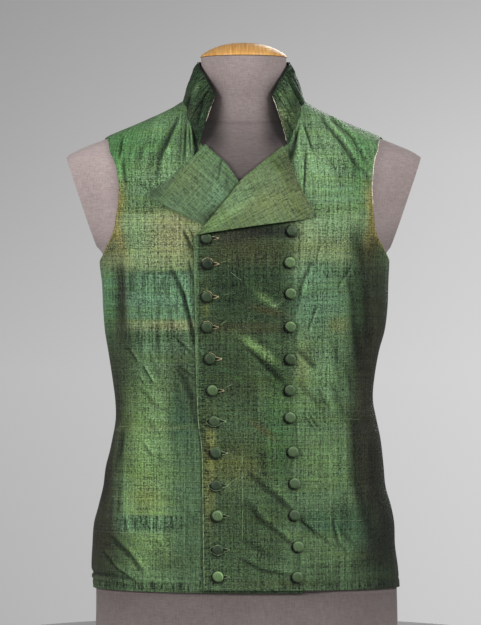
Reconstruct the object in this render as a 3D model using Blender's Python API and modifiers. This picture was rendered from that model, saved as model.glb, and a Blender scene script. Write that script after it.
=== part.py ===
"""A double-breasted waistcoat of about 1800 on a limbless dress form, cut and layered as the real one is.

Every cloth piece is a wall over one skin, the surface that wraps the dress form. A place on the skin is
an angle round the figure (0 at the centre front, 90 at the +X side, 180 at the centre back) and a height.
The front faces -Y. Tables and named sizes are in millimetres and degrees; meshes are made in metres.
"""

import math
from collections import namedtuple

import bmesh
import bpy
from mathutils import Matrix, Vector

MM = 0.001

# Driving dimensions
FORM_TOP = 694.6  # top of the neck, under the wooden cap
HEM = 61.0  # height of the hem above the surface that the form stands on
CLOTH = 1.6  # a front, back or lapel: silk, interlining and lining together
COLLAR_CLOTH = 1.7
COLLAR_BULGE = 2.4  # how far the standing collar rounds out between its foot and its upper edge
SEAM_GAP = 0.3  # between two pieces that are sewn together
LAYER_GAP = 1.1  # between two layers that lie on each other
SHOULDER_SEAM = 78.0  # the seam's angle, a little in front of the shoulder's crest
SIDE_SEAM = 101.0  # the seam's angle, a little behind the side
BUTTON_RADIUS = 6.6
BUTTON_HEIGHT = 4.0
BUTTON_SIDES = 10
BUTTON_GAP = 0.5  # between a button's back and the cloth
FORM_SIDES = 36
FORM_RING_STEP = 23.0
CAP_SIDES = 32
FRONT_COLUMNS = 20
BACK_COLUMNS = 10
LAPEL_COLUMNS = 10
COLLAR_COLUMNS = 36
COLLAR_BANDS = 4

# The skin's horizontal sections. left and right are the half widths at -X and +X, taper bends the
# section from full (under 1) to narrow at its sides (over 1), ease is the room between form and cloth.
Section = namedtuple("Section", "height left right front back taper ease")
SECTIONS = [
    Section(*row)
    for row in (
        (0, 179, 186.5, 103, 116, 0.92, 1.5),
        (61, 178.5, 185, 103, 116, 0.92, 1.5),
        (84, 181, 183.5, 103, 115, 0.92, 2.0),
        (110, 180, 180, 103, 113, 0.92, 2.5),
        (137, 178, 179, 102, 110, 0.92, 3.0),
        (156, 173, 175.5, 101, 107, 0.92, 3.5),
        (180, 168, 168.5, 100, 103, 0.92, 4.0),
        (206, 164.5, 166, 99, 98, 0.92, 4.5),
        (238, 156, 162.5, 98, 91, 0.92, 5.0),
        (262, 152, 157.5, 98, 88, 0.92, 5.0),
        (284, 152.5, 153.5, 99, 88, 0.92, 5.0),
        (306, 155.2, 154.5, 101, 91, 0.92, 4.5),
        (344, 161, 160.8, 106, 98, 0.92, 4.5),
        (368, 165, 167.5, 109, 103, 0.92, 4.0),
        (396, 167.2, 171, 112, 108, 0.93, 4.0),
        (425, 168.5, 172, 115, 113, 0.95, 3.5),
        (445, 171, 173, 116, 116, 0.98, 3.0),
        (456, 171.5, 173.5, 117, 118, 1.02, 3.8),
        (465, 177, 178, 117, 119, 1.10, 4.0),
        (476, 188, 188, 117, 120, 1.20, 2.6),
        (490, 202, 202, 116, 122, 1.30, 2.0),
        (505, 214, 214, 114, 123, 1.38, 2.0),
        (520, 222, 222, 111, 124, 1.42, 2.0),
        (536, 227, 227, 108, 124, 1.42, 1.8),
        (552, 229, 229, 102, 123, 1.36, 2.2),
        (566, 224, 224, 96, 120, 1.26, 2.3),
        (577, 213, 213, 88, 117, 1.16, 2.4),
        (584, 201, 201, 82, 114, 1.10, 2.4),
        (591, 184, 184, 77, 111, 1.04, 2.4),
        (598, 166, 166, 71, 107, 1.0, 2.3),
        (606, 147, 147, 65, 102, 1.0, 2.2),
        (613, 130, 130, 60, 98, 1.0, 2.1),
        (620, 114, 114, 56, 93, 1.0, 2.0),
        (627, 98.5, 98.5, 53, 88, 1.0, 2.0),
        (634, 84.5, 84.5, 51, 83, 1.0, 2.0),
        (640, 75, 75, 50, 78, 1.0, 2.0),
        (646, 65, 65, 50, 73, 1.0, 2.0),
        (652, 58.5, 58.5, 51, 68, 1.0, 2.0),
        (662, 54.5, 54.5, 53, 63, 1.0, 2.0),
        (678, 53, 53, 56, 59, 1.0, 1.8),
        (700, 53, 53, 58, 57, 1.0, 1.8),
    )
]

# The flat ends of the shoulder stubs, by two points of the cut as seen from the front
Cut = namedtuple("Cut", "top_x top_z bottom_x bottom_z")
STUB_CUT = Cut(213.0, 577.0, 172.0, 456.0)

# The neckline round the figure, from one lapel's top to the centre back
Place = namedtuple("Place", "angle height")
NECKLINE = [
    Place(*row)
    for row in (
        (15, 587),
        (22, 604),
        (30, 616),
        (42, 628),
        (58, 637),
        (78, 643),
        (110, 647),
        (145, 649),
        (180, 650),
    )
]

# The collar's upper edge, by its share of the way from the front corner to the centre back
Edge = namedtuple("Edge", "share x y z")
COLLAR_TOP = [
    Edge(*row)
    for row in (
        (0.0, 33, -47, 647),
        (0.10, 38.5, -41, 659),
        (0.24, 45.5, -30, 673),
        (0.40, 51, -14, 684),
        (0.55, 52.3, 5, 689),
        (0.72, 47, 27, 691),
        (0.86, 29.5, 49, 692),
        (1.0, 0, 58.5, 692),
    )
]

# Outlines of the pieces. inner is the side nearer the centre, outer the side seam and the armhole.
# x and z are as seen from the front. Where a station lies on a seam its angle is given instead.
Station = namedtuple("Station", "inner_x inner_z outer_angle outer_z rows")
OVER_FRONT = [
    Station(*row)
    for row in (
        (-46.6, HEM + 1.5, SIDE_SEAM, HEM, 3),
        (-47.5, 105, SIDE_SEAM, 105, 4),
        (-48.4, 179, SIDE_SEAM, 179, 3),
        (-49.5, 228, SIDE_SEAM, 228, 2),
        (-53.4, 261, SIDE_SEAM, 262, 3),
        (-55.3, 310, SIDE_SEAM, 312, 4),
        (-56.8, 390, SIDE_SEAM, 385, 3),
        (-57.5, 452, SIDE_SEAM, 430, 1),
        (-57.5, 477, SIDE_SEAM, 445, 1),
        (-54.5, 480.5, 95.0, 447.6, 1),
        (-51.6, 484, 88.0, 451.5, 1),
        (-48.7, 487.5, 80.5, 456.3, 1),
        (-45.7, 491, 72.5, 462.4, 1),
        (-35.0, 503.5, 58.5, 476, 1),
        (-24.0, 516, 51.6, 487, 1),
        (-14.0, 528.5, 47.4, 499, 1),
        (-3.6, 541.7, 43.7, 516, 1),
        (13.5, 557, 41.9, 534, 1),
        (30.8, 572.3, 41.6, 548, 1),
        (46.8, 586, 42.7, 562, 1),
    )
]
UNDER_FRONT = [
    Station(*row)
    for row in (
        (-68.5, HEM - 2.0, SIDE_SEAM, HEM, 3),
        (-62.0, 105, SIDE_SEAM, 105, 4),
        (-60.5, 179, SIDE_SEAM, 179, 3),
        (-59.0, 228, SIDE_SEAM, 228, 2),
        (-57.5, 261, SIDE_SEAM, 262, 3),
        (-56.5, 310, SIDE_SEAM, 312, 4),
        (-56.5, 390, SIDE_SEAM, 385, 3),
        (-57.5, 452, SIDE_SEAM, 430, 1),
        (-57.0, 477, SIDE_SEAM, 445, 1),
        (-54.2, 480.5, 94.5, 447.6, 1),
        (-51.4, 484, 87.0, 451.5, 1),
        (-48.6, 487.5, 79.0, 456.3, 1),
        (-45.7, 491, 71.0, 462.4, 1),
        (-35.0, 503.5, 57.4, 476, 1),
        (-24.0, 516, 50.6, 487, 1),
        (-10.0, 528.5, 46.2, 499, 1),
        (4.5, 541.7, 42.4, 516, 1),
        (14.5, 558, 40.6, 534, 1),
        (32.6, 573.5, 40.4, 548, 1),
        (46.0, 586, 41.8, 562, 1),
    )
]
# The stretch from the lapel's top to the shoulder seam, inner edge on the neckline
Shoulder = namedtuple("Shoulder", "neck_angle outer_angle outer_z rows")
FRONT_SHOULDER = [
    Shoulder(*row)
    for row in (
        (22, 46.0, 574, 1),
        (30, 52.5, 584, 1),
        (42, 60.0, 590.5, 1),
        (58, 70.0, 595.5, 1),
        (SHOULDER_SEAM, SHOULDER_SEAM, 598.6, 0),
    )
]
BACK = [
    Station(*row)
    for row in (
        (0, HEM, SIDE_SEAM, HEM, 3),
        (0, 110, SIDE_SEAM, 105, 4),
        (0, 190, SIDE_SEAM, 179, 3),
        (0, 240, SIDE_SEAM, 228, 2),
        (0, 275, SIDE_SEAM, 262, 3),
        (0, 325, SIDE_SEAM, 312, 4),
        (0, 395, SIDE_SEAM, 385, 3),
        (0, 446, SIDE_SEAM, 430, 1),
        (0, 470, SIDE_SEAM, 445, 1),
        (0, 488, 108, 450, 1),
        (0, 507, 116, 461, 1),
        (0, 528, 126, 482, 1),
        (0, 552, 133, 508, 1),
        (0, 574, 136, 534, 1),
        (0, 594, 135, 558, 1),
        (0, 614, 128, 574, 1),
        (0, 633, 122, 583, 1),
    )
]
BACK_SHOULDER = [
    Shoulder(*row)
    for row in (
        (180, 116, 589, 1),
        (162, 109, 593, 1),
        (145, 102, 595.8, 1),
        (125, 95, 597.6, 1),
        (100, 87, 598.6, 1),
        (SHOULDER_SEAM, SHOULDER_SEAM, 598.6, 0),
    )
]

# A lapel's rows, from its top to its point: on the fold, and on the outer edge, as seen from the front
Row = namedtuple("Row", "fold_x fold_z edge_x edge_z")
OVER_LAPEL = [
    Row(*row)
    for row in (
        (45.0, 584.5, 48.5, 581.5),
        (39.0, 579, 51.5, 571),
        (30.8, 572.3, 56.3, 556),
        (20.0, 563, 60.5, 544),
        (-3.6, 541.7, 68.2, 529),
        (-24.0, 516, 75, 515),
        (-43.0, 493, 81.7, 502),
        (-54.0, 480, 69, 497.5),
    )
]
UNDER_LAPEL = [
    Row(*row)
    for row in (
        (44.5, 586.5, 48, 583),
        (39.5, 581, 57.8, 572.5),
        (31.6, 574, 70, 561),
        (20.5, 564, 87, 545.5),
        (4.5, 541.7, 110, 529),
        (-24.0, 516, 105, 522),
        (-43.0, 493, 80, 508.5),
        (-54.0, 480, 46, 491),
    )
]

# Buttons, as seen from the front: the row beside the over-front's free edge, and the row sewn fast
Button = namedtuple("Button", "x z")
FREE_ROW = [
    Button(*row)
    for row in (
        (-42.6, 476.0),
        (-41.8, 446.6),
        (-42.6, 408.1),
        (-42.6, 372.5),
        (-39.1, 335.4),
        (-36.1, 298.0),
        (-34.0, 261.2),
        (-32.3, 223.7),
        (-31.5, 185.5),
        (-30.6, 149.6),
        (-29.9, 110.4),
        (-29.9, 78.8),
    )
]
FAST_ROW = [
    Button(*row)
    for row in (
        (54.8, 484.3),
        (53.0, 448.1),
        (54.0, 411.8),
        (53.7, 373.0),
        (53.7, 335.1),
        (53.0, 298.3),
        (53.3, 265.7),
        (56.7, 224.9),
        (58.8, 187.8),
        (58.8, 150.4),
        (62.9, 113.7),
        (62.1, 78.0),
    )
]
# A covered button's outline from its top down to its back
ButtonProfile = namedtuple("ButtonProfile", "radius height")
BUTTON_PROFILE = [
    ButtonProfile(*row) for row in ((0, 1.0), (0.58, 0.9), (0.97, 0.48), (0.82, 0), (0, 0))
]

# The cap's outline, as shares of its half width and height
CapProfile = namedtuple("CapProfile", "width height")
CAP_HALF_WIDTH, CAP_HALF_DEPTH, CAP_HEIGHT = 52.0, 57.5, 17.7
CAP_PROFILE = [
    CapProfile(*row)
    for row in ((1.0, 0.0), (0.99, 0.13), (0.885, 0.36), (0.74, 0.58), (0.55, 0.79), (0.30, 0.96))
]

# The largest folds, as seen from the front. A ridge has a positive depth and a trough a negative one.
Fold = namedtuple("Fold", "x1 z1 x2 z2 width depth")
FOLDS = [
    Fold(*row)
    for row in (
        (-82, 616, -98, 583, 6, -0.9),
        (-61, 606, -58, 575, 5, -0.9),
        (64, 604, 53, 575, 6, -0.9),
        (95, 618, 138, 568, 8, -0.9),
        (-83, 436, -59, 364, 9, -2.2),
        (-146, 436, -147, 370, 11, -2.2),
        (-132, 346, -108, 301, 8, -2.0),
        (-152, 124, -118, 92, 7, -1.4),
        (78, 457, 62, 412, 7, -1.8),
        (62, 340, 82, 322, 7, -1.6),
        (70, 146, 84, 132, 6, -1.4),
    )
]
# Drag folds on the over-front alone, from its free edge down to the fast row of buttons
OVER_FOLDS = [
    Fold(*row)
    for row in (
        (-30, 392, 46, 338, 8, 1.6),
        (-22, 352, 48, 300, 8, 1.5),
        (-24, 300, 46, 262, 8, 1.4),
        (-20, 252, 50, 222, 8, 1.5),
        (-14, 214, 52, 186, 8, 1.8),
        (-16, 180, 54, 146, 8, 1.8),
        (-18, 132, 56, 106, 8, 1.7),
        (-14, 104, 50, 76, 7, 1.2),
    )
]


def spline(rows, key, column, at):
    """The value of a column between the table's rows, on one smooth curve through them."""
    keys = [getattr(row, key) for row in rows]
    values = [getattr(row, column) for row in rows]
    at = min(max(at, keys[0]), keys[-1])
    i = max(n for n in range(len(keys) - 1) if keys[n] <= at or n == 0)

    def slope(n):
        low, high = max(n - 1, 0), min(n + 1, len(keys) - 1)
        return (values[high] - values[low]) / (keys[high] - keys[low])

    span = keys[i + 1] - keys[i]
    t = (at - keys[i]) / span
    return (
        values[i] * (2 * t**3 - 3 * t**2 + 1)
        + slope(i) * span * (t**3 - 2 * t**2 + t)
        + values[i + 1] * (3 * t**2 - 2 * t**3)
        + slope(i + 1) * span * (t**3 - t**2)
    )


def section(height):
    return Section(*(spline(SECTIONS, "height", name, height) for name in Section._fields))


def skin(angle, height):
    """The point of the skin at an angle and a height, with no layer on it."""
    s = section(height)
    sine, cosine = math.sin(math.radians(angle)), math.cos(math.radians(angle))
    half = s.right if sine > 0 else s.left
    depth = -s.front if cosine > 0 else s.back
    return Vector((half * sine, depth * abs(cosine) ** s.taper, height))


def outward(angle, height):
    """The skin's direction away from the figure."""
    round_step, up_step = 0.6, 0.8
    across = skin(angle + round_step, height) - skin(angle - round_step, height)
    up = skin(angle, height + up_step) - skin(angle, height - up_step)
    return across.cross(up).normalized()


def angle_at(x, height):
    """The angle of a place on the front that is seen at x."""
    s = section(height)
    half = s.right if x > 0 else s.left
    return math.degrees(math.asin(max(-1.0, min(1.0, x / half))))


def ramp(value, low, high):
    """0 below low, 1 above high, and smooth between."""
    t = min(max((value - low) / (high - low), 0.0), 1.0)
    return t * t * (3 - 2 * t)


def fold_height(folds, x, z):
    """How far the folds of a table lift the cloth at a place seen from the front."""
    total = 0.0
    for fold in folds:
        along = Vector((fold.x2 - fold.x1, fold.z2 - fold.z1))
        reach = Vector((x - fold.x1, z - fold.z1))
        t = reach.dot(along) / along.length_squared
        side = (reach - along * t).length
        ends = ramp(t, -0.25, 0.15) * (1 - ramp(t, 0.85, 1.25))
        total += fold.depth * ends * math.exp(-((side / fold.width) ** 2))
    return total


def relief(angle, height):
    """The largest folds, which every layer shares."""
    if abs(angle) > 90:
        return back_relief(angle, height)
    return fold_height(FOLDS, skin(angle, height).x, height)


def back_relief(angle, height):
    """Soft drag folds across the small of the back, shallower towards the sides."""
    from_middle = (180 - abs(angle)) / 80
    wave = math.cos((height - 268) / 26 * math.pi) * math.exp(-(((height - 268) / 55) ** 2))
    return -1.0 * wave * (1 - from_middle) if from_middle < 1 else 0.0


def over_lift(angle, height):
    """How far the over-front stands off the skin: it covers the under-front and the under-lapel."""
    x = skin(angle, height).x
    step = CLOTH + LAYER_GAP
    overlap = (1 - ramp(angle, 24, 38)) * (1 - ramp(height, 545, 578))
    covers_lapel = ramp(height, 452, 474)
    return step * overlap * (1 + covers_lapel) + fold_height(OVER_FOLDS, x, height)


def under_lift(angle, height):
    """The under-front and the backs lie straight on the skin."""
    return 0.0


def lapel_ride(x, z):
    """The over-lapel's rise over the button that its lower edge covers."""
    button = FREE_ROW[0]
    near = Vector((x - button.x, z - button.z)).length
    return (BUTTON_HEIGHT + LAYER_GAP) * (1 - ramp(near, 9, 24))


def on_skin(angle, height, out):
    return skin(angle, height) + outward(angle, height) * (out + relief(angle, height))


def closed_mesh(name, vertices, faces):
    """A mesh in metres from points in millimetres, with its faces pointing out."""
    mesh = bpy.data.meshes.new(name)
    mesh.from_pydata([Vector(v) * MM for v in vertices], [], faces)
    body = bmesh.new()
    body.from_mesh(mesh)
    bmesh.ops.recalc_face_normals(body, faces=body.faces)
    body.to_mesh(mesh)
    body.free()
    mesh.shade_smooth()
    mesh.set_sharp_from_angle(angle=math.radians(40))
    return mesh


def wall(name, inner, outer):
    """A closed wall between two grids of points with the same rows and columns."""
    rows, columns = len(inner), len(inner[0])
    vertices = [p for row in inner for p in row] + [p for row in outer for p in row]
    layer = rows * columns

    def at(r, c, top):
        return top * layer + r * columns + c

    faces = []
    for r in range(rows - 1):
        for c in range(columns - 1):
            corners = ((r, c), (r, c + 1), (r + 1, c + 1), (r + 1, c))
            faces.append([at(i, j, 1) for i, j in corners])
            faces.append([at(i, j, 0) for i, j in reversed(corners)])
    rim = [(0, c) for c in range(columns)] + [(r, columns - 1) for r in range(1, rows)]
    rim += [(rows - 1, c) for c in range(columns - 2, -1, -1)] + [(r, 0) for r in range(rows - 2, 0, -1)]
    for (r, c), (i, j) in zip(rim, rim[1:] + rim[:1]):
        faces.append([at(r, c, 0), at(i, j, 0), at(i, j, 1), at(r, c, 1)])
    return closed_mesh(name, vertices, faces)


def neck_height(angle):
    return spline(NECKLINE, "angle", "height", abs(angle))


def rows_between(ends):
    """Every row of a piece as (inner place, outer place), with rows added evenly between the ends."""
    rows = []
    for i, (inner, outer, count) in enumerate(ends):
        rows.append((inner, outer))
        if i + 1 == len(ends):
            break
        for n in range(1, count):
            t = n / count
            next_inner, next_outer = ends[i + 1][:2]
            mixed = [
                Place(a.angle + (b.angle - a.angle) * t, a.height + (b.height - a.height) * t)
                for a, b in ((inner, next_inner), (outer, next_outer))
            ]
            rows.append(tuple(mixed))
    return rows


def front_rows(stations):
    """The rows of a front, with angles as for the wearer's left one."""
    ends = [
        (Place(angle_at(s.inner_x, s.inner_z), s.inner_z), Place(s.outer_angle, s.outer_z), s.rows)
        for s in stations
    ]
    ends += [
        (Place(s.neck_angle, neck_height(s.neck_angle)), Place(s.outer_angle, s.outer_z), s.rows)
        for s in FRONT_SHOULDER
    ]
    return rows_between(ends)


def back_rows():
    ends = [(Place(180, s.inner_z), Place(s.outer_angle, s.outer_z), s.rows) for s in BACK]
    ends += [
        (Place(s.neck_angle, neck_height(s.neck_angle)), Place(s.outer_angle, s.outer_z), s.rows)
        for s in BACK_SHOULDER
    ]
    return rows_between(ends)


def trimmed(rows, start, end):
    """Rows with their two ends drawn in by a distance along the skin, which leaves the seams' gaps."""
    cut = []
    for inner, outer in rows:
        length = (skin(*inner) - skin(*outer)).length
        a, b = start / length, 1 - end / length
        cut.append(
            tuple(
                Place(
                    inner.angle + (outer.angle - inner.angle) * t,
                    inner.height + (outer.height - inner.height) * t,
                )
                for t in (a, b)
            )
        )
    return cut


def lowered(rows):
    """Rows whose last one is drawn in from the shoulder seam."""
    inner, outer = rows[-1]
    before_inner, before_outer = rows[-2]
    drawn = []
    for place, before in ((inner, before_inner), (outer, before_outer)):
        t = SEAM_GAP / max((skin(*place) - skin(*before)).length, 1.0)
        drawn.append(
            Place(
                place.angle + (before.angle - place.angle) * t,
                place.height + (before.height - place.height) * t,
            )
        )
    return rows[:-1] + [tuple(drawn)]


def panel(name, rows, columns, lift, side):
    """A front or back as a wall over the skin. side is 1 for +X and -1 for -X."""
    inner_grid, outer_grid = [], []
    for inner, outer in rows:
        line = []
        for n in range(columns + 1):
            t = n / columns
            place = Place(
                side * (inner.angle + (outer.angle - inner.angle) * t),
                inner.height + (outer.height - inner.height) * t,
            )
            line.append((place, lift(*place)))
        inner_grid.append([on_skin(*place, out) for place, out in line])
        outer_grid.append([on_skin(*place, out + CLOTH) for place, out in line])
    return wall(name, inner_grid, outer_grid)


def lapel(name, rows, layer, side):
    """A turned-back lapel, lying on its front. layer is how far the front stands off the skin."""
    inner_grid, outer_grid = [], []
    for row in rows:
        line = []
        for n in range(LAPEL_COLUMNS + 1):
            t = n / LAPEL_COLUMNS
            x = side * (row.fold_x + (row.edge_x - row.fold_x) * t)
            z = row.fold_z + (row.edge_z - row.fold_z) * t
            place = Place(angle_at(x, z), z)
            ride = lapel_ride(x, z) if layer is over_lift else 0
            line.append((place, layer(*place) + CLOTH + LAYER_GAP + ride))
        inner_grid.append([on_skin(*place, out) for place, out in line])
        outer_grid.append([on_skin(*place, out + CLOTH) for place, out in line])
    return wall(name, inner_grid, outer_grid)


def collar(name):
    """The standing collar: from the neckline, where it stands on the cloth, to its upper edge."""
    inner_grid = [[] for _ in range(COLLAR_BANDS + 1)]
    outer_grid = [[] for _ in range(COLLAR_BANDS + 1)]
    first = NECKLINE[0].angle
    for n in range(COLLAR_COLUMNS + 1):
        share = 2 * n / COLLAR_COLUMNS - 1
        side = 1 if share >= 0 else -1
        along = 1 - abs(share)
        angle = side * (first + (180 - first) * along)
        foot = Place(angle, neck_height(angle))
        up = outward(*foot)
        low_in = skin(*foot) + up * (CLOTH + SEAM_GAP)
        top = Vector(
            (
                side * spline(COLLAR_TOP, "share", "x", along),
                spline(COLLAR_TOP, "share", "y", along),
                spline(COLLAR_TOP, "share", "z", along),
            )
        )
        away = Vector((top.x, top.y, 0)).normalized()
        lean = (top - low_in).normalized()
        foot_out = away - up * away.dot(up)
        low_out = low_in + foot_out.normalized() * COLLAR_CLOTH
        top_out = top + (away - lean * away.dot(lean)).normalized() * COLLAR_CLOTH
        for band in range(COLLAR_BANDS + 1):
            t = band / COLLAR_BANDS
            bulge = away * COLLAR_BULGE * 4 * t * (1 - t)
            inner_grid[band].append(low_in.lerp(top, t) + bulge)
            outer_grid[band].append(low_out.lerp(top_out, t) + bulge)
    return wall(name, inner_grid, outer_grid)


def loft(name, rings):
    """A closed body through rings of points, each ring with the same number, lowest first."""
    sides = len(rings[0])
    vertices = [p for ring in rings for p in ring]
    faces = [list(range(sides))[::-1], [len(vertices) - sides + n for n in range(sides)]]
    for r in range(len(rings) - 1):
        for n in range(sides):
            m = (n + 1) % sides
            faces.append([r * sides + n, r * sides + m, (r + 1) * sides + m, (r + 1) * sides + n])
    return closed_mesh(name, vertices, faces)


def form_point(angle, height):
    """The dress form's surface: the skin drawn in by the ease."""
    s = section(height)
    sine, cosine = math.sin(math.radians(angle)), math.cos(math.radians(angle))
    half = (s.right if sine > 0 else s.left) - s.ease
    depth = -(s.front - s.ease) if cosine > 0 else s.back - s.ease
    return Vector((half * sine, depth * abs(cosine) ** s.taper, height))


def form_heights():
    """Ring heights: even below the arms, then one for each row of the table."""
    first = next(s.height for s in SECTIONS if s.height >= 456)
    count = round(first / FORM_RING_STEP)
    low = [first * n / count for n in range(count)]
    return low + [s.height for s in SECTIONS if first <= s.height < FORM_TOP] + [FORM_TOP]


def form_body(name):
    """The torso and neck in one loft, with the shoulder stubs cut flat."""
    angles = [360 * n / FORM_SIDES for n in range(FORM_SIDES)]
    mesh = loft(name, [[form_point(a, z) for a in angles] for z in form_heights()])
    body = bmesh.new()
    body.from_mesh(mesh)
    drop = Vector((STUB_CUT.bottom_x - STUB_CUT.top_x, 0, STUB_CUT.bottom_z - STUB_CUT.top_z))
    lowest = (STUB_CUT.bottom_z - 1) * MM
    for side in (1, -1):
        faces = [f for f in body.faces if min(v.co.z for v in f.verts) > lowest]
        edges = list({e for f in faces for e in f.edges})
        verts = list({v for f in faces for v in f.verts})
        cut = bmesh.ops.bisect_plane(
            body,
            geom=verts + edges + faces,
            plane_co=Vector((side * STUB_CUT.top_x, 0, STUB_CUT.top_z)) * MM,
            plane_no=Vector((-side * drop.z, 0, drop.x)).normalized(),
            clear_outer=True,
        )
        rim = [e for e in cut["geom_cut"] if isinstance(e, bmesh.types.BMEdge)]
        bmesh.ops.holes_fill(body, edges=rim)
    bmesh.ops.remove_doubles(body, verts=body.verts, dist=0.00002)
    bmesh.ops.recalc_face_normals(body, faces=body.faces)
    body.to_mesh(mesh)
    body.free()
    return mesh


def form_cap(name):
    angles = [math.radians(360 * n / CAP_SIDES) for n in range(CAP_SIDES)]
    base = FORM_TOP + SEAM_GAP
    rings = [
        [
            Vector(
                (
                    CAP_HALF_WIDTH * row.width * math.sin(a),
                    -CAP_HALF_DEPTH * row.width * math.cos(a),
                    base + CAP_HEIGHT * row.height,
                )
            )
            for a in angles
        ]
        for row in CAP_PROFILE
    ]
    return loft(name, rings)


def button_mesh(name):
    """The outline of a covered button, which the Screw modifier turns into a solid."""
    mesh = bpy.data.meshes.new(name)
    points = [
        (row.radius * BUTTON_RADIUS * MM, 0, row.height * BUTTON_HEIGHT * MM) for row in BUTTON_PROFILE
    ]
    mesh.from_pydata(points, [(n, n + 1) for n in range(len(points) - 1)], [])
    return mesh


def add(collection, name, mesh, material):
    thing = bpy.data.objects.new(name, mesh)
    if not mesh.materials:
        mesh.materials.append(material)
    collection.objects.link(thing)
    return thing


def add_button(collection, name, mesh, material, button):
    """A button on the over-front, square to the cloth under it."""
    place = Place(angle_at(button.x, button.z), button.z)
    seat = on_skin(*place, over_lift(*place) + CLOTH + BUTTON_GAP)
    thing = add(collection, name, mesh, material)
    turn = outward(*place).to_track_quat("Z", "Y").to_matrix().to_4x4()
    thing.matrix_world = Matrix.Translation(seat * MM) @ turn
    screw = thing.modifiers.new("Turned", "SCREW")
    screw.steps = screw.render_steps = BUTTON_SIDES
    screw.use_merge_vertices = True
    screw.merge_threshold = 0.00001
    return thing


def material(name, colour, roughness):
    surface = bpy.data.materials.new(name)
    surface.use_nodes = True
    shader = surface.node_tree.nodes["Principled BSDF"]
    shader.inputs["Base Color"].default_value = (*colour, 1)
    shader.inputs["Roughness"].default_value = roughness
    shader.inputs["Metallic"].default_value = 0
    return surface


def main():
    for thing in list(bpy.data.objects):
        bpy.data.objects.remove(thing, do_unlink=True)
    collection = bpy.data.collections.new("Waistcoat on a dress form")
    bpy.context.scene.collection.children.link(collection)
    silk = material("Green silk", (0.10, 0.19, 0.08), 0.42)
    button_silk = material("Button silk", (0.06, 0.12, 0.05), 0.45)
    linen = material("Form cloth", (0.33, 0.28, 0.26), 0.8)
    wood = material("Oak", (0.62, 0.32, 0.12), 0.4)

    over, under, back = front_rows(OVER_FRONT), front_rows(UNDER_FRONT), back_rows()
    over, under = (lowered(trimmed(rows, 0, SEAM_GAP / 2)) for rows in (over, under))
    back = trimmed(back, SEAM_GAP / 2, SEAM_GAP / 2)
    add(collection, "front_left", panel("front_left", over, FRONT_COLUMNS, over_lift, 1), silk)
    add(collection, "front_right", panel("front_right", under, FRONT_COLUMNS, under_lift, -1), silk)
    add(collection, "back_left", panel("back_left", back, BACK_COLUMNS, under_lift, 1), silk)
    add(collection, "back_right", panel("back_right", back, BACK_COLUMNS, under_lift, -1), silk)
    add(collection, "lapel_left", lapel("lapel_left", OVER_LAPEL, over_lift, 1), silk)
    add(collection, "lapel_right", lapel("lapel_right", UNDER_LAPEL, under_lift, -1), silk)
    add(collection, "collar", collar("collar"), silk)
    add(collection, "form_body", form_body("form_body"), linen)
    add(collection, "form_cap", form_cap("form_cap"), wood)
    outline = button_mesh("button")
    for row_name, row in (("button_right", FREE_ROW), ("button_left", FAST_ROW)):
        for number, button in enumerate(row, 1):
            add_button(collection, f"{row_name}_{number:02d}", outline, button_silk, button)


main()
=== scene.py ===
"""The double-breasted silk waistcoat on its dress form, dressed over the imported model.

Every cloth piece lies over one skin, the surface that wraps the dress form. A place on the skin is an
angle round the figure (0 at the centre front, 90 at the +X side, 180 at the centre back) and a height.
The front faces -Y. Tables are in millimetres and degrees, x and z as seen from the front.
"""

import math
from collections import namedtuple

import bmesh
import bpy
import numpy as np
from mathutils import Matrix, Vector


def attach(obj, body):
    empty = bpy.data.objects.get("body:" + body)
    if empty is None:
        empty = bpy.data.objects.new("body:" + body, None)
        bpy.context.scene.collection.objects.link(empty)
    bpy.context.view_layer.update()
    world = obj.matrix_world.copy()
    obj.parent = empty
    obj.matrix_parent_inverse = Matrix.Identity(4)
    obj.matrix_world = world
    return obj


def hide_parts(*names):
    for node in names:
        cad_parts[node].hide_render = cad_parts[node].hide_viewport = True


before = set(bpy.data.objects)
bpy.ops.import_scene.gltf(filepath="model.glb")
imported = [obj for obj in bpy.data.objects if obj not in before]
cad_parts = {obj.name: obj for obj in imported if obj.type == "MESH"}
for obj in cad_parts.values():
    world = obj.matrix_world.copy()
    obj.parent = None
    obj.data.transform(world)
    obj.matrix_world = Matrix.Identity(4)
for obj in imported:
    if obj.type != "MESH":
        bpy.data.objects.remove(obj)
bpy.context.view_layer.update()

MM = 0.001
HEM = 61.0
CLOTH = 1.6
SHELL = 1.1  # the thickness of a shown cloth layer
COLLAR_CLOTH = 1.7
COLLAR_BULGE = 2.4
SEAM_GAP = 0.3
LAYER_GAP = 1.1
SHOULDER_SEAM = 78.0
SIDE_SEAM = 101.0
BUTTON_RADIUS = 6.6
BUTTON_HEIGHT = 4.0
BUTTON_GAP = 0.5
BUTTON_EDGE = 7.9  # how far from a button's middle its thin shadow starts
FORM_TOP = 694.6
ROLL = 2.15  # the radius of a lapel's fold
CAMERA = Vector((-0.00384, -5.0, 0.3894))  # in metres, looking straight along Y
LIT_POINT = Vector((0, 0, 0.38))  # in metres, where every lamp points
LAPEL_FOOT = 474.0  # the height at which the fronts' free edges start to turn back as lapels
HEM_STITCHES = 9.5  # the height of the hem's sewn line above the hem
LIP_AWAY = 1.9  # how many of a crease's widths its raised lip lies from its middle
SMALL_OF_BACK = 268.0  # the height round which the back's level folds lie
MERGE = 1e-6  # points closer than this, in metres, are one
WEAVE_SHIFT = 370.0  # moves the weave of the -X side's pieces away from that of the +X side's


def rows(kind, *lines):
    """A table with named columns."""
    return [kind(*line) for line in lines]


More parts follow.
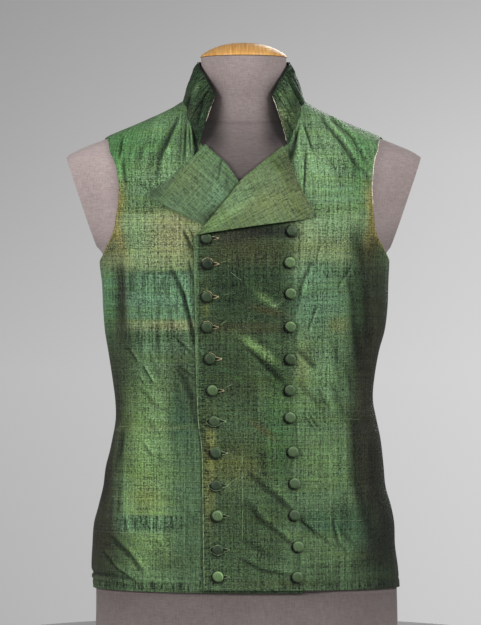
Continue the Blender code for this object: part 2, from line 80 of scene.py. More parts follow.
# The skin's horizontal sections, with the ease between the form and the cloth
Section = namedtuple("Section", "height left right front back taper ease")
SECTIONS = rows(
    Section,
    (0, 179, 186.5, 103, 116, 0.92, 1.5),
    (61, 178.5, 185, 103, 116, 0.92, 1.5),
    (84, 181, 183.5, 103, 115, 0.92, 2.0),
    (110, 180, 180, 103, 113, 0.92, 2.5),
    (137, 178, 179, 102, 110, 0.92, 3.0),
    (156, 173, 175.5, 101, 107, 0.92, 3.5),
    (180, 168, 168.5, 100, 103, 0.92, 4.0),
    (206, 164.5, 166, 99, 98, 0.92, 4.5),
    (238, 156, 162.5, 98, 91, 0.92, 5.0),
    (262, 152, 157.5, 98, 88, 0.92, 5.0),
    (284, 152.5, 153.5, 99, 88, 0.92, 5.0),
    (306, 155.2, 154.5, 101, 91, 0.92, 4.5),
    (344, 161, 160.8, 106, 98, 0.92, 4.5),
    (368, 165, 167.5, 109, 103, 0.92, 4.0),
    (396, 167.2, 171, 112, 108, 0.93, 4.0),
    (425, 168.5, 172, 115, 113, 0.95, 3.5),
    (445, 171, 173, 116, 116, 0.98, 3.0),
    (456, 171.5, 173.5, 117, 118, 1.02, 3.8),
    (465, 177, 178, 117, 119, 1.10, 4.0),
    (476, 188, 188, 117, 120, 1.20, 2.6),
    (490, 202, 202, 116, 122, 1.30, 2.0),
    (505, 214, 214, 114, 123, 1.38, 2.0),
    (520, 222, 222, 111, 124, 1.42, 2.0),
    (536, 227, 227, 108, 124, 1.42, 1.8),
    (552, 229, 229, 102, 123, 1.36, 2.2),
    (566, 224, 224, 96, 120, 1.26, 2.3),
    (577, 213, 213, 88, 117, 1.16, 2.4),
    (584, 201, 201, 82, 114, 1.10, 2.4),
    (591, 184, 184, 77, 111, 1.04, 2.4),
    (598, 166, 166, 71, 107, 1.0, 2.3),
    (606, 147, 147, 65, 102, 1.0, 2.2),
    (613, 130, 130, 60, 98, 1.0, 2.1),
    (620, 114, 114, 56, 93, 1.0, 2.0),
    (627, 98.5, 98.5, 53, 88, 1.0, 2.0),
    (634, 84.5, 84.5, 51, 83, 1.0, 2.0),
    (640, 75, 75, 50, 78, 1.0, 2.0),
    (646, 65, 65, 50, 73, 1.0, 2.0),
    (652, 58.5, 58.5, 51, 68, 1.0, 2.0),
    (662, 54.5, 54.5, 53, 63, 1.0, 2.0),
    (678, 53, 53, 56, 59, 1.0, 1.8),
    (700, 53, 53, 58, 57, 1.0, 1.8),
)

# The flat ends of the shoulder stubs, by two points of the cut
Cut = namedtuple("Cut", "top_x top_z bottom_x bottom_z")
STUB_CUT = Cut(213.0, 577.0, 172.0, 456.0)

# The neckline round the figure
Neck = namedtuple("Neck", "angle height")
NECKLINE = rows(
    Neck,
    (15, 587),
    (22, 604),
    (30, 616),
    (42, 628),
    (58, 637),
    (78, 643),
    (110, 647),
    (145, 649),
    (180, 650),
)

# The collar's upper edge, by its share of the way from the front corner to the centre back
Edge = namedtuple("Edge", "share x y z")
COLLAR_TOP = rows(
    Edge,
    (0.0, 33, -47, 647),
    (0.10, 38.5, -41, 659),
    (0.24, 45.5, -30, 673),
    (0.40, 51, -14, 684),
    (0.55, 52.3, 5, 689),
    (0.72, 47, 27, 691),
    (0.86, 29.5, 49, 692),
    (1.0, 0, 58.5, 692),
)

# Outlines: the side nearer the centre by x and z, the outer side by angle and z
Station = namedtuple("Station", "inner_x inner_z outer_angle outer_z")
OVER_FRONT = rows(
    Station,
    (-46.6, HEM + 1.5, SIDE_SEAM, HEM),
    (-47.5, 105, SIDE_SEAM, 105),
    (-48.4, 179, SIDE_SEAM, 179),
    (-49.5, 228, SIDE_SEAM, 228),
    (-53.4, 261, SIDE_SEAM, 262),
    (-55.3, 310, SIDE_SEAM, 312),
    (-56.8, 390, SIDE_SEAM, 385),
    (-57.5, 452, SIDE_SEAM, 430),
    (-57.5, 477, SIDE_SEAM, 445),
    (-54.5, 480.5, 95.0, 447.6),
    (-51.6, 484, 88.0, 451.5),
    (-48.7, 487.5, 80.5, 456.3),
    (-45.7, 491, 72.5, 462.4),
    (-35.0, 503.5, 58.5, 476),
    (-24.0, 516, 51.6, 487),
    (-14.0, 528.5, 47.4, 499),
    (-3.6, 541.7, 43.7, 516),
    (13.5, 557, 41.9, 534),
    (30.8, 572.3, 41.6, 548),
    (46.8, 586, 42.7, 562),
)
UNDER_FRONT = rows(
    Station,
    (-68.5, HEM - 2.0, SIDE_SEAM, HEM),
    (-62.0, 105, SIDE_SEAM, 105),
    (-60.5, 179, SIDE_SEAM, 179),
    (-59.0, 228, SIDE_SEAM, 228),
    (-57.5, 261, SIDE_SEAM, 262),
    (-56.5, 310, SIDE_SEAM, 312),
    (-56.5, 390, SIDE_SEAM, 385),
    (-57.5, 452, SIDE_SEAM, 430),
    (-57.0, 477, SIDE_SEAM, 445),
    (-54.2, 480.5, 94.5, 447.6),
    (-51.4, 484, 87.0, 451.5),
    (-48.6, 487.5, 79.0, 456.3),
    (-45.7, 491, 71.0, 462.4),
    (-35.0, 503.5, 57.4, 476),
    (-24.0, 516, 50.6, 487),
    (-10.0, 528.5, 46.2, 499),
    (4.5, 541.7, 42.4, 516),
    (14.5, 558, 40.6, 534),
    (32.6, 573.5, 40.4, 548),
    (46.0, 586, 41.8, 562),
)
# From the lapel's top to the shoulder seam: a place on the neckline and one on the armhole
Shoulder = namedtuple("Shoulder", "neck_angle outer_angle outer_z")
FRONT_SHOULDER = rows(
    Shoulder,
    (22, 46.0, 574),
    (30, 52.5, 584),
    (42, 60.0, 590.5),
    (58, 70.0, 595.5),
    (SHOULDER_SEAM, SHOULDER_SEAM, 598.6),
)
BACK = rows(
    Station,
    (0, HEM, SIDE_SEAM, HEM),
    (0, 110, SIDE_SEAM, 105),
    (0, 190, SIDE_SEAM, 179),
    (0, 240, SIDE_SEAM, 228),
    (0, 275, SIDE_SEAM, 262),
    (0, 325, SIDE_SEAM, 312),
    (0, 395, SIDE_SEAM, 385),
    (0, 446, SIDE_SEAM, 430),
    (0, 470, SIDE_SEAM, 445),
    (0, 488, 108, 450),
    (0, 507, 116, 461),
    (0, 528, 126, 482),
    (0, 552, 133, 508),
    (0, 574, 136, 534),
    (0, 594, 135, 558),
    (0, 614, 128, 574),
    (0, 633, 122, 583),
)
BACK_SHOULDER = rows(
    Shoulder,
    (180, 116, 589),
    (162, 109, 593),
    (145, 102, 595.8),
    (125, 95, 597.6),
    (100, 87, 598.6),
    (SHOULDER_SEAM, SHOULDER_SEAM, 598.6),
)

# A lapel's rows, from its top to its point: on the fold, and on the outer edge
Row = namedtuple("Row", "fold_x fold_z edge_x edge_z")
OVER_LAPEL = rows(
    Row,
    (45.0, 584.5, 48.5, 581.5),
    (39.0, 579, 51.5, 571),
    (30.8, 572.3, 56.3, 556),
    (20.0, 563, 60.5, 544),
    (-3.6, 541.7, 68.2, 529),
    (-24.0, 516, 75, 515),
    (-43.0, 493, 81.7, 502),
    (-54.0, 480, 69, 497.5),
)
UNDER_LAPEL = rows(
    Row,
    (44.5, 586.5, 48, 583),
    (39.5, 581, 57.8, 572.5),
    (31.6, 574, 70, 561),
    (20.5, 564, 87, 545.5),
    (4.5, 541.7, 110, 529),
    (-24.0, 516, 105, 522),
    (-43.0, 493, 80, 508.5),
    (-54.0, 480, 46, 491),
)

# Buttons: the row beside the over-front's free edge, and the row sewn fast.
# tone goes from 0, dark, to 1, pale, and arch is how far the hole's upper lip rides over the button.
Button = namedtuple("Button", "x z tone arch")
FREE_ROW = rows(
    Button,
    (-42.6, 476.0, 0.2, 0.0),
    (-41.8, 446.6, 0.0, 0.8),
    (-42.6, 408.1, 0.2, 0.5),
    (-42.6, 372.5, 0.2, 0.5),
    (-39.1, 335.4, 0.2, 0.3),
    (-36.1, 298.0, 0.6, 0.0),
    (-34.0, 261.2, 0.3, 0.9),
    (-32.3, 223.7, 0.2, 0.8),
    (-31.5, 185.5, 0.1, 1.0),
    (-30.6, 149.6, 0.7, 0.2),
    (-29.9, 110.4, 0.1, 0.9),
    (-29.9, 78.8, 1.0, 0.0),
)
FAST_ROW = rows(
    Button,
    (54.8, 484.3, 0.2, 0),
    (53.0, 448.1, 0.8, 0),
    (54.0, 411.8, 0.7, 0),
    (53.7, 373.0, 0.7, 0),
    (53.7, 335.1, 0.3, 0),
    (53.0, 298.3, 0.4, 0),
    (53.3, 265.7, 0.6, 0),
    (56.7, 224.9, 0.5, 0),
    (58.8, 187.8, 0.5, 0),
    (58.8, 150.4, 0.3, 0),
    (62.9, 113.7, 0.6, 0),
    (62.1, 78.0, 0.4, 0),
)

# The largest folds, which the solids share
Fold = namedtuple("Fold", "x1 z1 x2 z2 width depth")
FOLDS = rows(
    Fold,
    (-82, 616, -98, 583, 6, -0.9),
    (-61, 606, -58, 575, 5, -0.9),
    (64, 604, 53, 575, 6, -0.9),
    (95, 618, 138, 568, 8, -0.9),
    (-83, 436, -59, 364, 9, -2.2),
    (-146, 436, -147, 370, 11, -2.2),
    (-132, 346, -108, 301, 8, -2.0),
    (-152, 124, -118, 92, 7, -1.4),
    (78, 457, 62, 412, 7, -1.8),
    (62, 340, 82, 322, 7, -1.6),
    (70, 146, 84, 132, 6, -1.4),
)
OVER_FOLDS = rows(
    Fold,
    (-30, 392, 46, 338, 8, 1.6),
    (-22, 352, 48, 300, 8, 1.5),
    (-24, 300, 46, 262, 8, 1.4),
    (-20, 252, 50, 222, 8, 1.5),
    (-14, 214, 52, 186, 8, 1.8),
    (-16, 180, 54, 146, 8, 1.8),
    (-18, 132, 56, 106, 8, 1.7),
    (-14, 104, 50, 76, 7, 1.2),
)

# Creases. A ridge has a positive depth. lip is a ridge beside a trough, as a share of its
# depth: to the right of a crease that runs down when positive, and to its left when negative.
Crease = namedtuple("Crease", "x1 z1 wide1 x2 z2 wide2 depth lip")
UNDER_CREASES = rows(
    Crease,
    (-80, 617, 2.2, -97, 578, 3.6, -3.2, 0.6),
    (-97, 580, 3.2, -103, 548, 2.6, -1.5, 0.5),
    (-144, 596, 1.8, -147, 573, 1.8, -2.2, 0.6),
    (-143, 567, 2.2, -139, 540, 2.4, -1.6, -0.6),
    (-59.5, 606, 1.4, -54.5, 572, 3.6, -5.2, -0.25),
    (-54, 602, 1.1, -45, 588, 1.3, -2.4, 0.5),
    (-50.5, 604, 1.0, -40, 592, 1.1, -1.6, 0.5),
    (-68.5, 609, 1.3, -70.5, 566, 1.7, -2.8, 0.6),
    (-64.2, 606, 1.0, -62.2, 572, 1.2, -2.0, 0.6),
    (-53, 594, 1.5, -47, 586, 1.8, -1.3, 0.4),
    (-74, 606, 2.0, -76, 560, 2.4, -1.0, 0.5),
    (-90, 602, 2.0, -114, 556, 3.0, -0.8, -0.4),
    (-112, 600, 2.5, -128, 562, 3.0, -0.7, 0.4),
    (-128, 594, 2.0, -140, 566, 2.4, -0.6, 0.4),
    (-70, 484, 1.6, -59, 462, 2.2, -2.8, 0.8),
    (-63, 486, 1.1, -54, 468, 1.2, -1.6, 0.6),
    (-64, 448, 1.5, -58.5, 424, 1.8, -2.2, 0.7),
    (-83, 437, 2.4, -71, 409, 2.8, -2.8, 0.6),
    (-71, 411, 2.2, -58.5, 358, 2.6, -4.0, 0.6),
    (-95, 432, 1.8, -88, 404, 2.2, -1.1, 0.6),
    (-146, 440, 5.0, -147, 372, 6.0, -1.7, 0.3),
    (-131, 437, 2.0, -134, 404, 2.6, -1.0, 0.5),
    (-118, 438, 1.5, -119, 414, 2.0, -0.9, 0.5),
    (-105, 437, 1.5, -104, 410, 2.2, -0.8, -0.5),
    (-100, 402, 1.6, -101, 372, 1.8, -0.8, 0.5),
    (-88, 395, 2.2, -84, 372, 2.6, -0.9, 0.5),
    (-136, 346, 1.5, -127, 331, 1.7, -2.2, 0.9),
    (-119, 325, 1.5, -108, 306, 1.7, -2.4, 0.9),
    (-123, 312, 1.3, -115, 300, 1.4, -1.5, 0.8),
    (-110, 340, 2.0, -99, 312, 2.4, -0.8, 0.6),
    (-122, 300, 2.4, -102, 277, 3.0, -0.9, 0.6),
    (-80, 360, 1.4, -60, 340, 1.6, -1.6, 0.7),
    (-76, 326, 1.3, -60, 314, 1.5, -1.6, 0.8),
    (-75, 318, 3.0, -58, 282, 4.5, -1.6, -0.6),
    (-62, 282, 2.2, -56, 255, 2.8, -1.1, -0.4),
    (-100, 364, 1.4, -99, 330, 2.0, -0.6, 0.5),
    (-119, 365, 1.4, -122, 336, 2.0, -0.6, 0.5),
    (-112, 262, 2.0, -104, 250, 2.4, -0.8, 0.6),
    (-104, 120, 1.6, -95, 113, 1.6, -1.6, 0.8),
    (-118, 234, 1.6, -110, 222, 1.6, -1.8, 0.9),
    (-100, 220, 1.4, -92, 212, 1.4, -1.2, 0.7),
    (-143, 250, 2.2, -146, 222, 2.4, -1.2, 0.7),
    (-126, 146, 1.4, -127, 134, 1.6, -1.6, 0.8),
    (-140, 146, 1.6, -138, 130, 1.8, -1.8, 0.8),
    (-86, 148, 1.6, -82, 134, 1.8, -1.4, 0.7),
    (-78, 226, 2.0, -74, 204, 2.4, -0.6, -0.5),
    (-156, 122, 2.6, -137, 104, 3.0, -2.4, 0.7),
    (-137, 105, 2.8, -120, 84, 2.4, -2.4, 0.7),
    (-165, 104, 1.8, -150, 86, 1.8, -1.8, 0.9),
    (-151, 86.5, 1.8, -130, 73, 1.8, -1.9, 0.9),
    (-184, 79, 2.2, -152, 76, 2.2, -2.4, -0.5),
    (-152, 77, 2.0, -134, 73.5, 1.8, -2.0, -0.4),
    (-108, 118, 2.0, -96, 104, 2.4, -0.7, 0.6),
    (-72, 158, 2.4, -58, 146, 2.8, -0.9, 0.5),
    (-130, 150, 1.6, -131, 134, 2.0, -0.9, 0.5),
    (-116, 149, 1.6, -117, 132, 2.0, -0.8, 0.5),
    (-104, 150, 1.6, -104, 133, 2.2, -0.9, -0.5),
    (-92, 149, 1.6, -91, 134, 2.0, -0.7, 0.5),
    (-144, 200, 2.6, -148, 150, 3.2, -0.9, 0.5),
    (-160, 230, 5.0, -166, 170, 6.0, -1.2, 0.3),
    (-136, 260, 4.0, -150, 205, 5.0, -1.1, -0.4),
)
OVER_CREASES = rows(
    Crease,
    (63.5, 604, 1.3, 57, 574, 3.4, -4.6, 0.4),
    (71, 612, 1.3, 81, 581, 1.5, -2.8, -0.5),
    (72.5, 575, 1.0, 69, 531, 1.1, -3.0, -0.5),
    (95, 618, 1.8, 115, 592, 2.4, -2.6, 0.7),
    (115, 593, 2.4, 134, 562, 2.8, -2.6, 0.7),
    (104, 620, 1.5, 128, 598, 1.8, -1.8, 0.8),
    (128, 598, 1.7, 146, 566, 1.8, -1.8, 0.7),
    (84, 610, 2.0, 100, 566, 2.6, -0.8, 0.5),
    (100, 575, 2.4, 113, 540, 2.6, -0.6, 0.5),
    (78, 560, 1.6, 82, 524, 2.0, -0.6, 0.5),
    (140, 560, 2.0, 150, 540, 2.4, -0.8, 0.5),
    (79, 448, 1.8, 72, 432, 2.2, -1.6, 0.6),
    (72, 434, 2.0, 65, 414, 2.4, -2.0, 0.6),
    (65, 415, 1.8, 62, 392, 2.0, -1.4, 0.4),
    (62, 346, 2.6, 82, 325, 3.4, -2.0, -0.6),
    (64, 305, 3.0, 92, 276, 3.4, -1.0, -0.6),
    (88, 296, 1.8, 100, 276, 2.2, -1.2, 0.8),
    (66, 145, 1.4, 83, 130.5, 1.8, -3.6, 0.5),
    (83, 131, 1.6, 102, 116, 2.0, -1.4, 0.6),
    (105, 142, 1.3, 111, 116, 1.6, -2.2, 1.1),
    (112, 118, 1.4, 122, 104, 1.6, -1.4, 0.8),
    (60, 262, 1.2, 63, 226, 1.3, -1.4, 0.6),
    (64, 120, 1.2, 66, 92, 1.3, -1.4, 0.6),
    (64, 480, 1.2, 64, 456, 1.3, -1.5, 0.6),
    (88, 470, 1.3, 84, 444, 1.4, -1.2, 0.8),
    (126, 444, 1.6, 110, 420, 1.8, -1.2, 0.8),
    (84, 396, 1.5, 76, 372, 1.6, -1.4, 0.9),
    (73, 264, 1.2, 81, 254, 1.3, -2.2, 0.7),
    (77, 267, 1.2, 86, 255, 1.3, -2.0, 0.7),
    (110, 138, 2.2, 124, 120, 2.6, -0.8, 0.6),
    (118, 128, 2.0, 132, 112, 2.2, -0.6, 0.6),
    (121, 436, 3.0, 131, 392, 4.0, -1.4, -0.4),
    (136, 470, 4.0, 141, 440, 4.5, -1.2, -0.3),
    (127, 392, 3.4, 137, 330, 5.0, -1.5, -0.5),
    (106, 352, 4.0, 116, 300, 5.0, -1.2, -0.5),
    (144, 420, 4.0, 146, 350, 5.0, -1.2, 0.4),
    (118, 330, 3.0, 130, 290, 4.0, -1.0, -0.5),
    (104, 305, 4.0, 118, 268, 5.0, -1.2, -0.5),
    (130, 262, 5.0, 134, 190, 7.0, -1.3, -0.4),
    (132, 190, 5.0, 152, 120, 6.0, -1.2, -0.5),
    (150, 225, 5.0, 156, 160, 6.0, -0.9, 0.4),
    (90, 368, 2.0, 94, 338, 2.6, -0.6, 0.5),
    (102, 262, 2.0, 103, 222, 2.4, -0.4, 0.5),
    (-10, 359, 1.6, 18, 335, 2.4, -2.4, -0.8),
    (18, 335, 2.4, 46, 307, 3.0, -2.8, -0.7),
    (22, 366, 3.2, 44, 342, 3.6, 1.3, 0.0),
    (-8, 361, 3.2, 22, 340, 4.0, 1.3, 0.0),
    (20, 340, 3.6, 45, 323, 3.0, 1.2, 0.0),
    (2, 361, 3.4, 36, 335, 4.0, 1.2, 0.0),
    (8, 198, 2.4, 33, 176, 3.2, -2.0, 0.5),
    (33, 177, 3.0, 54, 158, 2.6, -2.6, 0.6),
    (6, 166, 2.6, 22, 140, 3.0, -1.4, 0.6),
    (16, 150, 2.6, 55, 117, 2.6, -2.4, 0.6),
    (-4, 124, 2.8, 26, 104, 3.2, -1.0, -0.5),
    (-2, 99, 2.0, 24, 85, 1.9, -2.4, 0.5),
    (24, 86, 1.9, 57, 79.5, 1.8, -2.8, 0.6),
    (-28, 452, 1.4, -14, 457, 1.6, 0.9, 0.0),
    (-30, 438, 1.6, -44, 416, 2.0, 0.9, 0.0),
    (-27, 408, 1.4, -12, 413, 1.6, 0.8, 0.0),
    (-27, 374, 1.4, -16, 381, 1.6, 0.8, 0.0),
    (-26, 368, 2.0, -20, 346, 2.4, 0.7, 0.0),
    (-22, 300, 1.4, -10, 308, 1.6, 0.8, 0.0),
    (-14, 187, 1.4, 4, 200, 1.8, 0.9, 0.0),
    (-22, 152, 1.4, -10, 157, 1.6, 0.7, 0.0),
    (-14, 430, 1.6, 0, 420, 1.8, 0.6, 0.0),
    (-6, 416, 1.8, 14, 424, 1.8, 0.6, 0.0),
    (36, 397, 2.0, 48, 404, 1.6, 0.8, 0.0),
    (22, 408, 4.0, 38, 396, 3.0, 0.9, 0.0),
    (-43, 402, 1.2, -42, 380, 1.4, 0.6, 0.0),
    (57.5, 478, 1.2, 55.5, 454, 1.2, -0.7, 0.0),
    (57.0, 442, 1.2, 56.8, 418, 1.2, -0.6, 0.0),
    (59, 406, 1.4, 58.6, 378, 1.4, -0.9, 0.0),
    (59, 366, 1.4, 58, 340, 1.4, -0.9, 0.0),
    (57, 329, 1.4, 56, 304, 1.4, -0.8, 0.0),
    (56, 292, 1.2, 57, 271, 1.2, -0.6, 0.0),
    (57, 259, 1.2, 59, 231, 1.2, -0.6, 0.0),
    (60, 181, 1.2, 61, 156, 1.2, -0.4, 0.0),
    (63, 108, 1.4, 65, 84, 1.4, -0.8, 0.0),
)
BACK_CREASES = rows(
    Crease,
    (-74, 318, 3.6, -14, 283, 5.6, -1.7, 0.5),
    (60, 292, 4.4, 10, 276, 6.0, -1.4, -0.4),
    (-96, 276, 3.2, -30, 266, 4.6, -1.3, 0.5),
    (102, 286, 3.0, 30, 246, 5.0, -1.7, -0.6),
    (-52, 247, 4.0, -9, 240, 5.0, -1.0, 0.4),
    (80, 238, 3.4, 22, 219, 4.4, -1.2, -0.5),
    (-84, 232, 2.8, -40, 214, 3.6, -0.9, 0.5),
    (-120, 336, 2.6, -94, 284, 4.0, -1.3, 0.5),
    (114, 350, 3.0, 101, 312, 3.6, -0.9, -0.4),
    (132, 330, 2.4, 116, 282, 3.4, -1.2, -0.5),
    (-34, 636, 1.8, -42, 584, 3.0, -1.3, 0.5),
    (-22, 640, 1.4, -23, 611, 2.0, -1.0, 0.4),
    (-49, 630, 1.4, -64, 592, 2.2, -0.8, 0.4),
    (28, 638, 1.6, 33, 601, 2.6, -1.1, -0.5),
    (15, 640, 1.4, 21, 598, 2.2, -0.9, -0.4),
    (-118, 566, 2.6, -88, 497, 4.0, -1.1, 0.5),
    (112, 540, 3.0, 99, 503, 3.4, -0.9, -0.4),
    (132, 556, 2.2, 118, 510, 3.0, -1.0, -0.5),
    (-146, 146, 2.4, -108, 98, 3.6, -1.3, 0.6),
    (126, 138, 2.6, 111, 117, 3.4, -1.0, -0.5),
    (150, 120, 2.2, 120, 84, 3.0, -1.3, -0.6),
    (-9, 486, 3.0, -6, 402, 5.0, -0.8, 0.3),
    (-58, 206, 3.4, -66, 112, 5.0, -0.9, 0.4),
    (52, 176, 3.0, 57, 124, 4.0, -0.8, -0.4),
    (84, 196, 3.0, 92, 150, 4.0, -0.7, -0.4),
    (-130, 438, 3.2, -119, 364, 5.0, -1.2, 0.4),
    (122, 424, 3.2, 117, 388, 4.0, -1.0, -0.4),
    (140, 448, 3.0, 134, 396, 4.4, -1.0, -0.4),
    (40, 452, 2.2, 58, 421, 3.0, -0.7, 0.4),
)
OVER_LAPEL_CREASES = rows(
    Crease,
    (36, 566, 1.6, 44, 556, 2.0, -0.7, 0.5),
    (42, 570, 1.4, 48, 560, 1.6, -0.6, 0.5),
    (-2, 530, 2.0, 26, 536, 2.6, -0.5, 0.5),
    (20, 520, 3.0, 60, 526, 3.6, 0.5, 0.0),
    (-30, 496, 2.6, 0, 510, 3.0, 0.5, 0.0),
    (54, 508, 2.2, 74, 504, 1.8, -0.5, 0.5),
)
UNDER_LAPEL_CREASES = rows(
    Crease,
    (-26, 570, 1.4, -30, 545, 1.8, -1.2, 0.6),
    (-21, 542, 1.3, -14, 529, 1.6, -1.0, 0.7),
    (-34, 556, 1.8, -40, 530, 2.0, -0.5, 0.5),
    (-18, 552, 1.6, -22, 530, 2.0, -0.6, 0.5),
    (-40, 506, 1.4, -36, 498, 1.8, -0.7, 0.6),
    (-46, 508, 1.4, -44, 498, 1.8, -0.6, 0.6),
)

# The silk's colours, as they look in soft light. Some washes use the dark ones for painted shade and the
# pale ones for painted highlights.
TONES = {
    "base": (92, 120, 84),
    "leaf": (82, 134, 78),
    "spring": (130, 166, 120),
    "olive": (144, 160, 114),
    "tan": (142, 138, 102),
    "gold": (146, 136, 80),
    "umber": (92, 74, 42),
    "sea": (106, 144, 110),
    "teal": (58, 90, 66),
    "mud": (64, 66, 50),
    "bark": (46, 46, 34),
    "moss": (56, 76, 48),
    "pine": (42, 66, 42),
    "earth": (70, 74, 46),
    "meadow": (120, 150, 94),
    "sage": (80, 102, 66),
    "night": (28, 34, 24),
    "straw": (128, 134, 78),
    "cream": (244, 234, 212),
    "brass": (204, 190, 146),
    "mint": (140, 164, 122),
    "lime": (142, 168, 122),
}
# Soft washes and woven bars, and washes of painted shade and painted highlights. crisp is 1 for a soft wash
# and more for a bar with clear sides.
Wash = namedtuple("Wash", "x z wide high turn tone strength crisp")
UNDER_WASHES = rows(
    Wash,
    (-130, 594, 50, 30, 10, "leaf", 0.9, 1),
    (-100, 606, 30, 12, 26, "spring", 0.5, 1),
    (-70, 585, 20, 30, 0, "base", 0.6, 1),
    (-105, 548, 60, 26, 0, "spring", 0.6, 1),
    (-148, 560, 14, 34, 0, "leaf", 0.7, 1),
    (-104, 474, 66, 36, 0, "olive", 0.9, 3),
    (-84, 482, 28, 26, 0, "tan", 0.6, 1.5),
    (-128, 478, 22, 30, 0, "spring", 0.6, 1),
    (-104, 409, 68, 29, 0, "sea", 0.95, 5),
    (-104, 437.5, 50, 1.6, 0, "pine", 0.45, 1.5),
    (-98, 374, 56, 7, 0, "olive", 0.7, 4),
    (-88, 374, 20, 6, 0, "tan", 0.5, 1.5),
    (-108, 330, 40, 36, 0, "sea", 0.65, 1.5),
    (-88, 318, 24, 34, 12, "mud", 0.55, 1),
    (-66, 300, 14, 50, 10, "mud", 0.5, 1),
    # Painted shade along a deep fold near the side.
    (-145, 405, 9, 46, 0, "mud", 0.85, 1.4),
    (-158, 396, 8, 44, 0, "leaf", 0.5, 1),
    (-160, 462, 14, 20, 20, "umber", 0.5, 1),
    # Painted shade on the side as it turns away.
    (-146, 300, 22, 84, 0, "bark", 0.85, 1.8),
    (-110, 205, 30, 120, 0, "meadow", 0.85, 2),
    (-104, 240, 14, 50, 0, "spring", 0.4, 1),
    (-73, 270, 15, 62, 0, "moss", 0.97, 1.5),
    (-76, 262, 10, 30, 0, "teal", 0.6, 1),
    (-70, 250, 20, 24, 0, "teal", 0.6, 1),
    (-68, 160, 18, 80, 0, "teal", 0.55, 1.5),
    (-113, 172, 16, 18, 0, "straw", 0.5, 1),
    (-118, 140, 40, 10, 0, "sea", 0.7, 3),
    (-84, 205, 26, 50, 0, "base", 0.5, 1),
    # Painted shade on the lower side.
    (-172, 200, 26, 120, -3, "bark", 0.97, 2.5),
    (-176, 104, 34, 40, 0, "bark", 0.95, 2),
    (-150, 88, 22, 12, -30, "moss", 0.6, 1),
    (-142, 112, 16, 14, -40, "moss", 0.6, 1),
    (-84, 92, 24, 16, 0, "moss", 0.6, 1),
    (-60, 120, 10, 60, 0, "moss", 0.5, 1),
    (-110, 66, 80, 5, 0, "moss", 0.4, 2),
    (-104, 252, 40, 1.2, 4, "olive", 0.6, 1),
    (-104, 508, 62, 1.6, 0, "moss", 0.35, 1),
    # Painted shade deep in the pleat below the collar.
    (-56.5, 590, 2.6, 15, 9, "night", 0.85, 1.2),
    (-108, 533, 9, 3, -32, "pine", 0.5, 1.2),
    (-60, 440, 8, 90, 6, "moss", 0.45, 1),
    # Short upright marks of painted shade in small folds.
    (-134, 428, 1.7, 11, 0, "pine", 0.75, 1),
    (-128, 431, 1.6, 7, 8, "pine", 0.6, 1),
    (-129, 420, 1.7, 6, 0, "pine", 0.7, 1),
    (-105, 430, 1.6, 9, 0, "pine", 0.7, 1),
    (-113, 433, 1.5, 5, 0, "pine", 0.6, 1),
    (-100, 416, 1.7, 8, 3, "pine", 0.7, 1),
    (-123, 393, 1.9, 8, 4, "pine", 0.7, 1),
    (-99, 392, 1.7, 10, 0, "pine", 0.75, 1),
    (-79, 394, 2.4, 9, 0, "pine", 0.8, 1),
    (-101, 358, 2.1, 12, 0, "pine", 0.85, 1),
    (-125, 360, 1.7, 8, 0, "pine", 0.7, 1),
    (-116, 360, 1.6, 7, 0, "pine", 0.6, 1),
    (-88, 359, 1.7, 10, 12, "pine", 0.7, 1),
    (-133, 355, 2.2, 10, 0, "pine", 0.6, 1),
    (-78, 360, 1.6, 7, 10, "pine", 0.6, 1),
    (-136, 330, 16, 40, 0, "moss", 0.4, 1),
    (-150, 486, 7, 32, 20, "gold", 0.85, 1),
)
